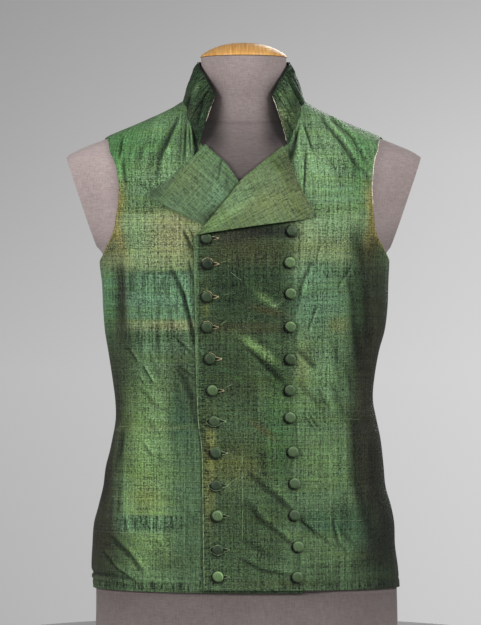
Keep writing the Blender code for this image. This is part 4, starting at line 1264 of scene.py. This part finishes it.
def lapel(name, table, side, lift, tables, columns, lines):
    """A turned-back lapel: a round fold, then the cloth lying back on its front."""
    creases, washes, gathers = tables
    fold = np.array([(row.fold_x, row.fold_z) for row in table], float)
    edge = np.array([(row.edge_x, row.edge_z) for row in table], float)
    keys = run_length(fold)
    turn_share = 0.12

    def place(u, v):
        at = v * keys[-1]
        fold_x, fold_z = (through(keys, fold[:, n], at) for n in range(2))
        edge_x, edge_z = (through(keys, edge[:, n], at) for n in range(2))
        width = np.hypot(edge_x - fold_x, edge_z - fold_z)
        rolled = np.clip(u / turn_share, 0, 1) * math.pi
        flat = np.clip((u - turn_share) / (1 - turn_share), 0, 1)
        along = ROLL - ROLL * np.sin(rolled) + flat * (width - ROLL)
        x = side * (fold_x + (edge_x - fold_x) * along / width)
        z = fold_z + (edge_z - fold_z) * along / width
        angle = angle_at(x, z)
        crumple = crease_height(creases, x, z) * ramp(rolled, 2.0, math.pi)
        out = lift(angle, z) + ROLL * (1 - np.cos(rolled)) + crumple
        if side > 0:
            near = np.hypot(x - FREE_ROW[0].x, z - FREE_ROW[0].z)
            out = out + (BUTTON_HEIGHT + LAYER_GAP) * (1 - ramp(near, 9, 24)) * ramp(flat, 0, 0.06)
            out = out + 3.6 * ramp(v, 0.72, 1.0) * ramp(x, -40, -6) * (1 - ramp(x, 48, 76))
        colour = washed(washes, x, z, "sage" if side > 0 else "base")
        slant = math.radians(28 if side > 0 else -42)
        sine, cosine = math.sin(slant), math.cos(slant)
        # The colour carries painted shade in the creases and painted highlights on their ridges.
        return {
            "points": on_skin(angle, z, out),
            "lengths": np.stack([z * cosine - x * sine, x * cosine + z * sine], -1),
            "painted": colour * painted_crease_shade(crumple)[:, None],
            "gathers": gathered(gathers, x, z),
        }

    mesh = sheet_mesh(name, columns, lines, place)
    return mesh if side < 0 else turned_over(mesh)


def collar_place(share, up):
    """A place on the collar's outer side. share runs from -1 to 1 round the neck, and up from 0 to 1."""
    side = np.where(share >= 0, 1.0, -1.0)
    along = 1 - np.abs(share)
    first = NECKLINE[0].angle
    angle = side * (first + (180 - first) * along)
    foot = curve(NECKLINE, "angle", "height", np.abs(angle))
    away_from_skin = outward(angle, foot)
    low = skin(angle, foot) + away_from_skin * (CLOTH + SEAM_GAP)
    top = np.stack([curve(COLLAR_TOP, "share", name, along) for name in ("x", "y", "z")], -1)
    top[:, 0] *= side
    away = unit(top * np.array([1, 1, 0]))
    lean = unit(top - low)

    def dot(a, b):
        return np.sum(a * b, -1, keepdims=True)

    low_out = low + unit(away - away_from_skin * dot(away, away_from_skin)) * COLLAR_CLOTH
    top_out = top + unit(away - lean * dot(away, lean)) * COLLAR_CLOTH
    t = up[:, None]
    return low_out + (top_out - low_out) * t + away * COLLAR_BULGE * 4 * t * (1 - t), away


def collar(name):
    """The standing collar, crumpled along its upper edge, its outer side dark above the cream lining, with
    painted shade and highlights in its creases and painted shade along its top.
    """

    def place(u, v):
        share = 2 * u - 1
        points, away = collar_place(share, v)
        length = share * 300
        crumple = 0.7 * np.sin(length / 4.6 + 5 * v) * np.sin(v * 3.1) * np.exp(-((v - 0.5) ** 2) * 4)
        crumple += 1.2 * np.sin(length / 1.9 + 1.3 * np.sin(v * 6)) * bell(v - 0.84, 0.10)
        crumple += 2.2 * crease_height(COLLAR_CREASES, points[:, 0], points[:, 2]) * (points[:, 1] < 10)
        lips = -0.5 * bell(v - 0.97, 0.03)
        points = points + away * (crumple + lips)[:, None]
        colour = washed(COLLAR_WASHES, points[:, 0], points[:, 2], "pine")
        # Painted shade along the rolled top of the outer side; the crease shade below paints the shade and
        # highlights of its creases.
        edge = 1 - 0.75 * ramp(v, 0.955, 0.985)
        puckers = 0.5 + 1.2 * bell(v - 0.86, 0.14)
        gathers = np.stack([puckers, np.full_like(v, 1.4), np.full_like(v, 0.3)], -1)
        return {
            "points": points,
            "lengths": np.stack([length, points[:, 2]], -1),
            "painted": colour * (painted_crease_shade(crumple) * edge)[:, None],
            "gathers": gathers,
        }

    return sheet_mesh(name, 260, 48, place)


def form_point(angle, height):
    """The dress form's surface, which lies inside the skin by the ease."""
    sine, cosine = np.sin(np.radians(angle)), np.cos(np.radians(angle))
    ease = level("ease", height)
    half = np.where(sine > 0, level("right", height), level("left", height)) - ease
    depth = np.where(cosine > 0, -(level("front", height) - ease), level("back", height) - ease)
    return np.stack([half * sine, depth * np.abs(cosine) ** level("taper", height), height], -1)


def painted_form_shade(points):
    """Painted light on the form's cloth: painted shade in the neck opening, beside the collar's fronts and
    below the hem, a painted pool of light on the stubs, and a darker seam line.
    """
    x, y, z = points.T
    front = 1 - ramp(y, -25, 30)
    # Painted shade and light up the middle of the front: dark below the hem and in the neck opening, pale at
    # the neck's top.
    heights = [0, 56, 62, 480, 530, 560, 600, 625, 650, 672, 695]
    shades = [0.66, 0.5, 0.7, 1, 0.26, 0.36, 0.58, 0.78, 0.92, 1.12, 1.16]
    middle = np.interp(z, heights, shades)
    wide = np.abs(x)
    # Painted shadow at the neck's sides, beside the collar's fronts.
    beside = 1 - 0.84 * ramp(wide, 12, 38) * ramp(z, 560, 600) * (1 - ramp(z - 0.8 * wide, 618, 650))
    near_seam = 1 - 0.25 * bell(z - 614 - x * x / 900, 1.6)
    opening = middle * beside * near_seam
    # A painted pool of light on the stubs, brighter on the -X one.
    stub = ramp(wide, 120, 165) * ramp(z, 420, 470)
    pale = np.where(x < 0, 1.45, 1.18)
    shade = 1 + front * (opening - 1)
    return shade * (1 - stub) + pale * stub


def form_mesh(name):
    """The dress form: torso and neck in one, with flat-cut shoulder stubs and a seam at the neck's base."""

    def place(u, v):
        height = np.interp(v, [0, 0.42, 0.9, 1], [0, 400, 650, FORM_TOP])
        points = form_point(360 * u - 180, height)
        # The form's colour carries its painted shade and light.
        return {"points": points, "painted": painted_form_shade(points)[:, None] * np.array([1.0, 0.98, 0.98])}

    body = shape_of(sheet_mesh(name, 160, 240, place, close=True))
    bmesh.ops.holes_fill(body, edges=[e for e in body.edges if e.is_boundary])
    drop = Vector((STUB_CUT.bottom_x - STUB_CUT.top_x, 0, STUB_CUT.bottom_z - STUB_CUT.top_z))
    lowest = (STUB_CUT.bottom_z - 1) * MM
    for side in (1, -1):
        faces = [f for f in body.faces if min(v.co.z for v in f.verts) > lowest]
        parts = faces + list({e for f in faces for e in f.edges}) + list({v for f in faces for v in f.verts})
        cut = bmesh.ops.bisect_plane(
            body,
            geom=parts,
            plane_co=Vector((side * STUB_CUT.top_x, 0, STUB_CUT.top_z)) * MM,
            plane_no=Vector((-side * drop.z, 0, drop.x)).normalized(),
            clear_outer=True,
        )
        rim = [e for e in cut["geom_cut"] if isinstance(e, bmesh.types.BMEdge)]
        bmesh.ops.holes_fill(body, edges=rim)
    bmesh.ops.recalc_face_normals(body, faces=body.faces)
    mesh = as_mesh(body, name)
    mesh.set_sharp_from_angle(angle=math.radians(38))
    return mesh


def cap_mesh(name):
    """The wooden cap, turned and then drawn to the neck's oval."""
    outline = (
        (0, 0), (50.6, 0), (51.8, 0.4), (52, 1.2), (51.5, 2.2), (49.5, 4.0), (46, 6.4),
        (40.5, 9.6), (33.5, 12.7), (25, 15.3), (15, 17.0), (6, 17.6), (0, 17.7),
    )
    body = turned(outline, 96, FORM_TOP + SEAM_GAP)
    bmesh.ops.scale(body, vec=(1, 57.5 / 52, 1), verts=body.verts)
    mesh = as_mesh(body, name)
    mesh.set_sharp_from_angle(angle=math.radians(50))
    return mesh


def button_seat(button):
    """Where a button sits on the over-front, and the cloth's direction there."""
    x, z = np.array([button.x]), np.array([button.z])
    angle = angle_at(x, z)
    out = over_lift(angle, z) + CLOTH + BUTTON_GAP
    return Vector(on_skin(angle, z, out)[0]), Vector(outward(angle, z)[0])


def button_mesh(name, button):
    """A covered button: a soft dome with its cloth drawn round the rim."""
    outline = (
        (0, 3.5), (2.6, 3.46), (4.4, 3.3), (5.4, 2.95), (6.1, 2.4),
        (6.5, 1.7), (6.45, 0.9), (6.0, 0.3), (5.2, 0), (0, 0),
    )
    body = turned(outline, 28)
    seat, away = button_seat(button)
    turn = away.to_track_quat("Z", "Y").to_matrix().to_4x4()
    bmesh.ops.transform(body, matrix=Matrix.Translation(seat * MM) @ turn, verts=body.verts)
    mesh = as_mesh(body, name)
    points = np.empty(len(mesh.vertices) * 3)
    mesh.vertices.foreach_get("co", points)
    points = points.reshape(-1, 3) / MM - np.array(seat)
    # Painted light on the button: its rim is painted pale at the upper right and dark at the lower left, and
    # its middle a little darker.
    far = np.hypot(points[:, 0], points[:, 2]) + 0.01
    upper_right = (0.6 * points[:, 0] + 0.8 * points[:, 2]) / far
    painted_rim_light = np.where(far > 5.0, 1.05 + 1.0 * upper_right, 0.84)
    layer = mesh.color_attributes.new(name="painted", type="FLOAT_COLOR", domain="POINT")
    layer.data.foreach_set("color", np.stack([painted_rim_light, painted_rim_light, painted_rim_light, np.ones_like(painted_rim_light)], -1).ravel())
    return mesh


def drawn(points, count):
    """A smooth line of count + 1 points through the given ones."""
    points = np.array(points, float)
    keys = run_length(points)
    at = np.linspace(0, keys[-1], count + 1)
    return np.stack([through(keys, points[:, n], at) for n in range(points.shape[1])], -1)


def laid(side, x, z, above=0.0):
    """Points on a front's outer face, and the cloth's directions there. side is 1 for the over-front."""
    lift, creases = (over_lift, OVER_CREASES) if side > 0 else (under_lift, UNDER_CREASES)
    angle = angle_at(x, z)
    out = lift(angle, z) + CLOTH + crease_height(creases, x, z) + above
    return on_skin(angle, z, out), outward(angle, z)


def strand(name, points, away, radius, sides=6):
    """A thread along points that thins to nothing at both ends. away gives the cloth's directions."""
    tangent = unit(np.gradient(points, axis=0))
    across = unit(np.cross(tangent, away))
    up = np.cross(across, tangent)
    count = len(points) - 1

    def place(u, v):
        i = np.rint(u * count).astype(int)
        thick = (radius * np.clip(np.minimum(u, 1 - u) * count, 0, 1))[:, None]
        turn = (2 * math.pi * v)[:, None]
        return {"points": points[i] + thick * (np.cos(turn) * across[i] + np.sin(turn) * up[i])}

    return sheet_mesh(name, count, sides, place, close=True)


def gathered_up(name, meshes):
    """Many small meshes as one."""
    body = bmesh.new()
    for mesh in meshes:
        body.from_mesh(mesh)
        bpy.data.meshes.remove(mesh)
    return as_mesh(body, name)


def stitches(name, points, away, length=1.9, gap=1.5, radius=0.24):
    """A run of stitches along points: small drawn-out beads half sunk in the cloth."""
    keys = run_length(points)
    body = bmesh.new()
    at = gap
    while at + length < keys[-1]:
        spot, ahead, out = (
            Vector([float(np.interp(k, keys, line[:, n])) for n in range(3)])
            for k, line in ((at + length / 2, points), (at + length, points), (at + length / 2, away))
        )
        turn = (ahead - spot).to_track_quat("X", "Z").to_matrix().to_4x4()
        size = Matrix.Diagonal((length / 2 * MM, radius * MM, radius * MM, 1))
        bmesh.ops.create_icosphere(
            body, subdivisions=1, radius=1, matrix=Matrix.Translation((spot + out * 0.1) * MM) @ turn @ size
        )
        at += length + gap
    return as_mesh(body, name)


def buttonhole(name, button):
    """The stitched lips of a worked buttonhole: an arch at the button, and an eye and a bar at its right."""
    eye = [(6.2, 2.0), (8.4, 1.9), (11.0, 1.2), (12.8, 0.2), (11.2, -1.0), (8.6, -1.6), (6.2, -1.9)]
    lines = [(eye, 0.4, 0)]
    if button.arch > 0.85:
        over_it = [
            (8.8, 1.5), (5.6, 3.6), (0, 5.6), (-6.4, 3.4), (-9.4, 0),
            (-6.2, -3.8), (0, -6.0), (5.2, -4.4), (8.8, -1.5),
        ]
        lines.append((over_it, 0.3, 3.3))
    elif button.arch:
        turns = np.linspace(math.radians(70 + 110 * button.arch), math.radians(20), 9)
        lines.append(([(7.1 * math.cos(a), 7.1 * math.sin(a)) for a in turns], 0.3, 0))
    threads = []
    for corners, radius, over in lines:
        line = drawn(corners, 48)
        above = 0.35 + over * bell(line[:, 0], 5.5)
        points, away = laid(1, button.x + line[:, 0], button.z + line[:, 1], above)
        threads.append(strand(name, points, away, radius))
    bar = drawn([(12.9, 1.5), (13.5, 0.2), (13.0, -1.2)], 6) + (button.x, button.z)
    threads.append(strand(name, *laid(1, bar[:, 0], bar[:, 1], 0.45), 0.5))
    return gathered_up(name, threads)


def knot(tree, kind, inputs=None, **settings):
    """A node with its settings made and its inputs joined or set."""
    made = tree.nodes.new(kind)
    for name, value in settings.items():
        setattr(made, name, value)
    for key, value in (inputs or {}).items():
        if isinstance(value, bpy.types.NodeSocket):
            tree.links.new(value, made.inputs[key])
        else:
            made.inputs[key].default_value = value
    return made


def sum_up(tree, operation, first, second):
    return knot(tree, "ShaderNodeMath", {0: first, 1: second}, operation=operation).outputs[0]


def drawn_noise(tree, coordinates, scale, detail=2.0, roughness=0.55):
    """Noise drawn out along the cloth, by a scale for each direction."""
    placed = knot(tree, "ShaderNodeMapping", {"Vector": coordinates, "Scale": scale})
    return knot(
        tree,
        "ShaderNodeTexNoise",
        {"Vector": placed.outputs[0], "Scale": 1.0, "Detail": detail, "Roughness": roughness},
    ).outputs[0]


def between(tree, value, low, high, to_low=0.0, to_high=1.0):
    return knot(
        tree,
        "ShaderNodeMapRange",
        {"Value": value, "From Min": low, "From Max": high, "To Min": to_low, "To Max": to_high},
    ).outputs[0]


def new_finish(name, roughness, specular=0.5, sheen=0.0, sheen_roughness=0.5):
    finish = bpy.data.materials.new(name)
    finish.use_nodes = True
    shader = finish.node_tree.nodes["Principled BSDF"]
    shader.inputs["Roughness"].default_value = roughness
    shader.inputs["Specular IOR Level"].default_value = specular
    shader.inputs["Sheen Weight"].default_value = sheen
    shader.inputs["Sheen Roughness"].default_value = sheen_roughness
    return finish, finish.node_tree, shader


def attribute(tree, name):
    return knot(tree, "ShaderNodeVertexColor", layer_name=name).outputs[0]


def channels(tree, colour):
    return knot(tree, "ShaderNodeSeparateColor", {0: colour}).outputs


def total(tree, *values):
    """All the values added up."""
    first = values[0]
    for value in values[1:]:
        first = sum_up(tree, "ADD", first, value)
    return first


def times(tree, first, second):
    return sum_up(tree, "MULTIPLY", first, second)


def shaded(tree, colour, shade):
    return knot(tree, "ShaderNodeVectorMath", {0: colour, 1: shade}, operation="MULTIPLY").outputs[0]


def two_tones(tree, share, low, high, low_colour, high_colour):
    """One colour up to low, another from high, and mixed between."""
    ramps = knot(tree, "ShaderNodeValToRGB", {0: share})
    marks = ramps.color_ramp.elements
    for mark, position, colour in zip(marks, (low, high), (low_colour, high_colour)):
        mark.position = position
        mark.color = (*colour, 1)
    return ramps.outputs[0]


def relief_of(tree, shader, height, strength, distance):
    """Fine relief from a height, read by the light alone."""
    bump = knot(tree, "ShaderNodeBump", {"Strength": strength, "Distance": distance, "Height": height})
    tree.links.new(bump.outputs[0], shader.inputs["Normal"])


def silk_finish(name, strength=1.0):
    """Changeable silk: painted colour, both threads, pale slubs, and puckers where the cloth is gathered."""
    finish, tree, shader = new_finish(name, 0.44, 0.26, 0.03, 0.4)
    cloth = knot(tree, "ShaderNodeUVMap", uv_map="cloth").outputs[0]

    def noise(across, up, detail=2.0, roughness=0.55):
        return drawn_noise(tree, cloth, (across, up, 1), detail, roughness)

    def swing(value, amount):
        return between(tree, value, 0.34, 0.66, -amount, amount)

    painted = attribute(tree, "painted")
    folds, dots, ticks = channels(tree, attribute(tree, "gathers"))
    inside, dark, _ = channels(tree, attribute(tree, "ring"))
    bars = noise(5, 90)
    warp_slub = between(tree, noise(300, 8, 1.0), 0.64, 0.78)
    weft_slub = between(tree, noise(9, 300, 1.0), 0.70, 0.82)
    fold_dip = times(tree, between(tree, noise(330, 50, 3.0), 0.58, 0.36), folds)
    dot_share = total(tree, times(tree, dots, 0.6), 0.3 * strength)
    dot_dip = times(tree, swing(noise(560, 470, 1.0), -0.74), dot_share)
    tick_dip = times(tree, between(tree, noise(90, 560), 0.52, 0.36), ticks)
    dips = total(tree, fold_dip, dot_dip, tick_dip)
    across = total(tree, swing(noise(640, 210, 2.0, 0.6), 0.42), swing(noise(480, 14, 1.0), 0.32))
    up = total(tree, swing(noise(260, 700, 2.0, 0.6), 0.33), swing(noise(16, 500, 1.0), 0.24))
    threads = times(tree, total(tree, across, up), strength)
    slubs = sum_up(tree, "MAXIMUM", warp_slub, weft_slub)
    clouds = between(tree, noise(34, 22, 3.0), 0.3, 0.7, -0.14, 0.14)
    broad = total(tree, between(tree, bars, 0.3, 0.7, 1.0, 1.26), clouds)
    # The dips also darken the colour: painted shade in the gathered folds and ticks, and a stipple of
    # painted dark and pale specks for the puckers.
    bright = total(tree, threads, broad, times(tree, dips, -0.52), times(tree, slubs, 0.4))
    bright = sum_up(tree, "MAXIMUM", bright, 0.14)
    shadow = times(tree, between(tree, inside, 0.5, 0.6, 0.0, 0.9), dark)
    bright = times(tree, bright, sum_up(tree, "SUBTRACT", 1.0, shadow))
    warm_share = between(tree, bars, 0.46, 0.66, 0.0, 0.4)
    warm = knot(
        tree,
        "ShaderNodeMix",
        {0: warm_share, 6: shaded(tree, painted, bright), 7: (0.33, 0.29, 0.12, 1)},
        data_type="RGBA",
        blend_type="SOFT_LIGHT",
    )
    tree.links.new(warm.outputs[2], shader.inputs["Base Color"])
    height = total(tree, times(tree, noise(110, 70, 4.0, 0.6), 2.4), times(tree, threads, 0.5))
    height = total(tree, height, times(tree, dips, -0.8), times(tree, slubs, 0.3))
    relief_of(tree, shader, height, 1.0, 0.001)
    return finish


def thread_finish(name, low_tone, high_tone):
    """Sewing silk: one colour in the lower half and another above it, worn paler and darker in places."""
    finish, tree, shader = new_finish(name, 0.5, 0.4, 0.1, 0.4)
    place = knot(tree, "ShaderNodeTexCoord").outputs["Object"]
    height = knot(tree, "ShaderNodeSeparateXYZ", {0: place}).outputs[2]
    share = between(tree, height, 0.28, 0.31)
    ends = {6: (*tone(low_tone), 1), 7: (*tone(high_tone), 1)}
    colour = knot(tree, "ShaderNodeMix", {0: share, **ends}, data_type="RGBA").outputs[2]
    worn = between(tree, drawn_noise(tree, place, (240, 240, 240)), 0.35, 0.6, 0.35, 1.15)
    tree.links.new(shaded(tree, colour, worn), shader.inputs["Base Color"])
    return finish


def button_finish(name, share):
    """Silk drawn tight over a button, darker or paler."""
    finish, tree, shader = new_finish(name, 0.5, 0.35, 0.1, 0.4)
    place = knot(tree, "ShaderNodeTexCoord").outputs["Object"]
    threads = drawn_noise(tree, place, (700, 300, 300))
    dark = tone("night") * (1 - share) + tone("base") * share
    pale = tone("pine") * (1 - share) + tone("meadow") * share
    colour = two_tones(tree, threads, 0.3, 0.75, dark, pale)
    # The painted attribute brings in the painted highlight and shade of the button's rim.
    tree.links.new(shaded(tree, colour, attribute(tree, "painted")), shader.inputs["Base Color"])
    relief_of(tree, shader, threads, 0.6, 0.0004)
    return finish


def form_finish(name):
    """The dress form's grey woven cover."""
    finish, tree, shader = new_finish(name, 0.85, 0.2, 0.1, 0.6)
    place = knot(tree, "ShaderNodeTexCoord").outputs["Object"]
    weave = total(tree, drawn_noise(tree, place, (900, 900, 120)), drawn_noise(tree, place, (120, 120, 900)))
    cloudy = between(tree, drawn_noise(tree, place, (14, 14, 14), 3.0), 0.3, 0.7, -0.1, 0.15)
    shade = total(tree, between(tree, weave, 0.6, 1.4, 0.0, 0.8), cloudy)
    colour = two_tones(tree, shade, 0.0, 1.0, (0.235, 0.190, 0.182), (0.400, 0.342, 0.330))
    tree.links.new(shaded(tree, colour, attribute(tree, "painted")), shader.inputs["Base Color"])
    relief_of(tree, shader, weave, 0.5, 0.0004)
    return finish


def wood_finish(name):
    """Turned pale wood with fine straight grain."""
    finish, tree, shader = new_finish(name, 0.35, 0.5)
    place = knot(tree, "ShaderNodeTexCoord").outputs["Object"]
    grain = drawn_noise(tree, place, (420, 18, 60), 3.0)
    wide = drawn_noise(tree, place, (60, 5, 20))
    mixed = total(tree, times(tree, grain, 0.6), times(tree, wide, 0.4))
    colour = two_tones(tree, mixed, 0.35, 0.62, (0.56, 0.24, 0.055), (0.95, 0.55, 0.17))
    tree.links.new(colour, shader.inputs["Base Color"])
    relief_of(tree, shader, grain, 0.3, 0.0002)
    return finish


def stood(name, data, place=(0, 0, 0)):
    """An object for some data, in the scene, at a place in metres."""
    thing = bpy.data.objects.new(name, data)
    thing.location = place
    bpy.context.scene.collection.objects.link(thing)
    return thing


def stand_by():
    """The camera, the lamps, the floor and the grey behind."""
    lens = bpy.data.cameras.new("Camera")
    lens.sensor_fit = "VERTICAL"
    lens.sensor_height = 24
    lens.lens = 160
    lens.clip_end = 50
    camera = stood("Camera", lens, CAMERA)
    camera.rotation_euler = (math.pi / 2, 0, 0)
    bpy.context.scene.camera = camera
    for name, place, size, power in (
        ("Right lamp", (1.9, -1.7, 1.5), 0.8, 44),
        ("Left lamp", (-2.0, -1.6, 1.2), 0.9, 46),
        ("Front lamp", (0.5, -3.2, 1.6), 0.7, 12),
        ("Back lamp", (0.9, 3.0, 1.5), 1.4, 22),
    ):
        lamp = bpy.data.lights.new(name, "AREA")
        lamp.size = size
        lamp.energy = power
        aim = LIT_POINT - Vector(place)
        stood(name, lamp, place).rotation_euler = aim.to_track_quat("-Z", "Y").to_euler()

    body = bmesh.new()
    bmesh.ops.create_circle(body, cap_ends=True, segments=96, radius=0.32)
    mesh = bpy.data.meshes.new("Floor")
    body.to_mesh(mesh)
    body.free()
    floor = stood("Floor", mesh)
    pale, _, shader = new_finish("Pale floor", 0.9, 0.1)
    shader.inputs["Base Color"].default_value = (0.55, 0.55, 0.55, 1)
    mesh.materials.append(pale)

    world = bpy.data.worlds.new("Grey room")
    bpy.context.scene.world = world
    world.use_nodes = True
    tree = world.node_tree
    backdrop = tree.nodes["Background"]
    # The backdrop seen by the camera is a painted gradient of light: paler to the right and darkest at the
    # top; other rays see an even soft grey.
    look = knot(tree, "ShaderNodeTexCoord").outputs["Generated"]
    look_x, _, look_z = knot(tree, "ShaderNodeSeparateXYZ", {0: look}).outputs
    up = between(tree, look_z, -0.075, 0.075)
    greys = []
    for shades in ((0.455, 0.50, 0.40, 0.335), (0.61, 0.66, 0.60, 0.47)):
        ramps = knot(tree, "ShaderNodeValToRGB", {0: up})
        marks = ramps.color_ramp.elements
        marks[0].color = (shades[0],) * 3 + (1,)
        marks[1].color = (shades[3],) * 3 + (1,)
        for position, grey in ((0.4, shades[1]), (0.75, shades[2])):
            marks.new(position).color = (grey,) * 3 + (1,)
        greys.append(ramps.outputs[0])
    mixed = knot(
        tree,
        "ShaderNodeMix",
        {0: between(tree, look_x, -0.0577, 0.0577), 6: greys[0], 7: greys[1]},
        data_type="RGBA",
    )
    tree.links.new(mixed.outputs[2], backdrop.inputs[0])
    soft = knot(tree, "ShaderNodeBackground", {0: (0.16, 0.16, 0.165, 1), 1: 1.0})
    seen = knot(tree, "ShaderNodeLightPath").outputs["Is Camera Ray"]
    both = knot(tree, "ShaderNodeMixShader", {0: seen, 1: soft.outputs[0], 2: backdrop.outputs[0]})
    tree.links.new(both.outputs[0], tree.nodes["World Output"].inputs[0])
    bpy.context.scene.view_settings.view_transform = "Standard"


def finish_edges(over, under):
    """Buttonholes, slub threads and painted highlight strands, the lining's edges and the sewing."""
    sewing = thread_finish("Green sewing silk", "moss", "base")
    lining = thread_finish("Cream lining edge", "cream", "cream")
    hole_silk = thread_finish("Buttonhole silk", "mint", "brass")
    pale_thread = thread_finish("Pale slub and highlight thread", "lime", "lime")
    for number, button in enumerate(FREE_ROW, 1):
        show(f"buttonhole_{number:02d}", buttonhole("buttonhole", button), hole_silk)
    threads = []
    for pale_strand in SLUBS_AND_HIGHLIGHTS:
        line = drawn(pale_strand.points, 60)
        threads.append(strand("pale_strand", *laid(pale_strand.side, line[:, 0], line[:, 1], 0.05), pale_strand.radius, 5))
    # A pale strand along the over-front's free edge: a painted highlight on its rolled rim.
    for low, high, radius in ((62.5, 300, 0.42), (298, LAPEL_FOOT, 0.26)):
        z = np.linspace(low, high, 130)
        threads.append(strand("pale_strand", *laid(1, free_edge(z) + 0.9, z, -0.1), radius, 5))
    show("slub_and_highlight_threads", gathered_up("slub_and_highlight_threads", threads), pale_thread)
    edges = []
    for side, low in ((-1, 0.46), (1, 0.05)):
        up = np.linspace(low, 0.985, 46)
        points, away = collar_place(np.full(46, side * 0.999), up)
        ragged = 0.35 * np.sin(up * 41) + 0.25 * np.sin(up * 97)
        edges.append(strand("edge", points + away * (ragged - 0.5)[:, None], away, 0.46))
    armhole = drawn([(over[n, 2], over[n, 3]) for n in range(16, len(over))], 60)
    points = on_skin(armhole[:, 0], armhole[:, 1], np.full(61, CLOTH - 0.5))
    edges.append(strand("edge", points, outward(armhole[:, 0], armhole[:, 1]), 0.5))
    show("lining_edges", gathered_up("lining_edges", edges), lining)
    runs = []
    for side, table, lift in ((1, OVER_LAPEL, over_lift), (-1, UNDER_LAPEL, under_lift)):
        edge = drawn([(side * r.edge_x, r.edge_z) for r in table], 120)
        inner = drawn([(side * r.fold_x, r.fold_z) for r in table], 120)
        edge = edge + 2.0 * unit(inner - edge)
        angle = angle_at(edge[:, 0], edge[:, 1])
        out = lift(angle, edge[:, 1]) + 2 * ROLL + 0.05
        points, away = on_skin(angle, edge[:, 1], out), outward(angle, edge[:, 1])
        runs.append(stitches("run", points, away))
        if side > 0:
            gold_thread = thread_finish("Gold-brown sewing silk", "gold", "gold")
            whipped = stitches("whip", points, away, 1.2, 3.4, 0.34)
            show("lapel_whipping", whipped, gold_thread)
    for side, ends in ((1, over), (-1, under)):
        angle = np.linspace(float(ends[0, 0]) + 0.6, SIDE_SEAM - 0.6, 200) * side
        z = np.full(200, HEM + 9.6)
        lift = over_lift if side > 0 else under_lift
        runs.append(stitches("run", on_skin(angle, z, lift(angle, z) + CLOTH - 0.3), outward(angle, z)))
        armhole = drawn([(ends[n, 2] - 1.6, ends[n, 3]) for n in range(9, len(ends))], 160)
        angle, z = side * armhole[:, 0], armhole[:, 1]
        runs.append(stitches("run", on_skin(angle, z, lift(angle, z) + CLOTH + 0.05), outward(angle, z)))
    z = np.linspace(HEM + 6, LAPEL_FOOT - 4, 200)
    runs.append(stitches("run", *laid(1, free_edge(z) + 3.4, z, 0.05)))
    show("edge_stitches", gathered_up("edge_stitches", runs), sewing)


def main():
    silk = silk_finish("Changeable silk")
    lapel_silk = silk_finish("Changeable silk of the lapels", 0.8)
    grey_cover = form_finish("Grey form cloth")
    wood = wood_finish("Turned wood")
    over, under, back = front_ends(OVER_FRONT), front_ends(UNDER_FRONT), back_ends()
    front_spacing = ([0, 0.035, 0.82, 1], [0, 0.0133, 0.70, 1])
    fronts = (
        ("front_left", over, 1, over_lift, (OVER_CREASES, OVER_WASHES, OVER_GATHERS)),
        ("front_right", under, -1, under_lift, (UNDER_CREASES, UNDER_WASHES, UNDER_GATHERS)),
    )
    for node, ends, side, lift, tables in fronts:
        mesh = panel("silk_" + node, ends, side, lift, tables, front_spacing, 180, 254, 2.2)
        piece = show("silk_" + node, mesh, silk, node, SHELL)
    for node, side in (("back_left", 1), ("back_right", -1)):
        tables = (BACK_CREASES, BACK_WASHES, BACK_GATHERS)
        mesh = turned_over(panel("silk_" + node, back, side, under_lift, tables, ([0, 1], [0, 1]), 90, 200))
        piece = show("silk_" + node, mesh, silk, node, SHELL)
    lapels = (
        ("lapel_left", OVER_LAPEL, 1, over_lift, OVER_LAPEL_CREASES, OVER_LAPEL_WASHES, 0.0083),
        ("lapel_right", UNDER_LAPEL, -1, under_lift, UNDER_LAPEL_CREASES, UNDER_LAPEL_WASHES, 0.0095),
    )
    for node, table, side, lift, creases, washes, area in lapels:
        mesh = lapel("silk_" + node, table, side, lift, (creases, washes, LAPEL_GATHERS), 96, 110)
        piece = show("silk_" + node, mesh, lapel_silk, node, SHELL)
    finish_edges(over, under)
    piece = show("silk_collar", collar("silk_collar"), silk, "collar", COLLAR_CLOTH)
    show("cover_of_form", form_mesh("cover_of_form"), grey_cover, "form_body")
    show("turned_cap", cap_mesh("turned_cap"), wood, "form_cap")
    for row_name, row in (("button_right", FREE_ROW), ("button_left", FAST_ROW)):
        for number, button in enumerate(row, 1):
            node = f"{row_name}_{number:02d}"
            finish = button_finish("Button silk " + node[7:], button.tone)
            show("silk_" + node, button_mesh("silk_" + node, button), finish, node)
    stand_by()


main()
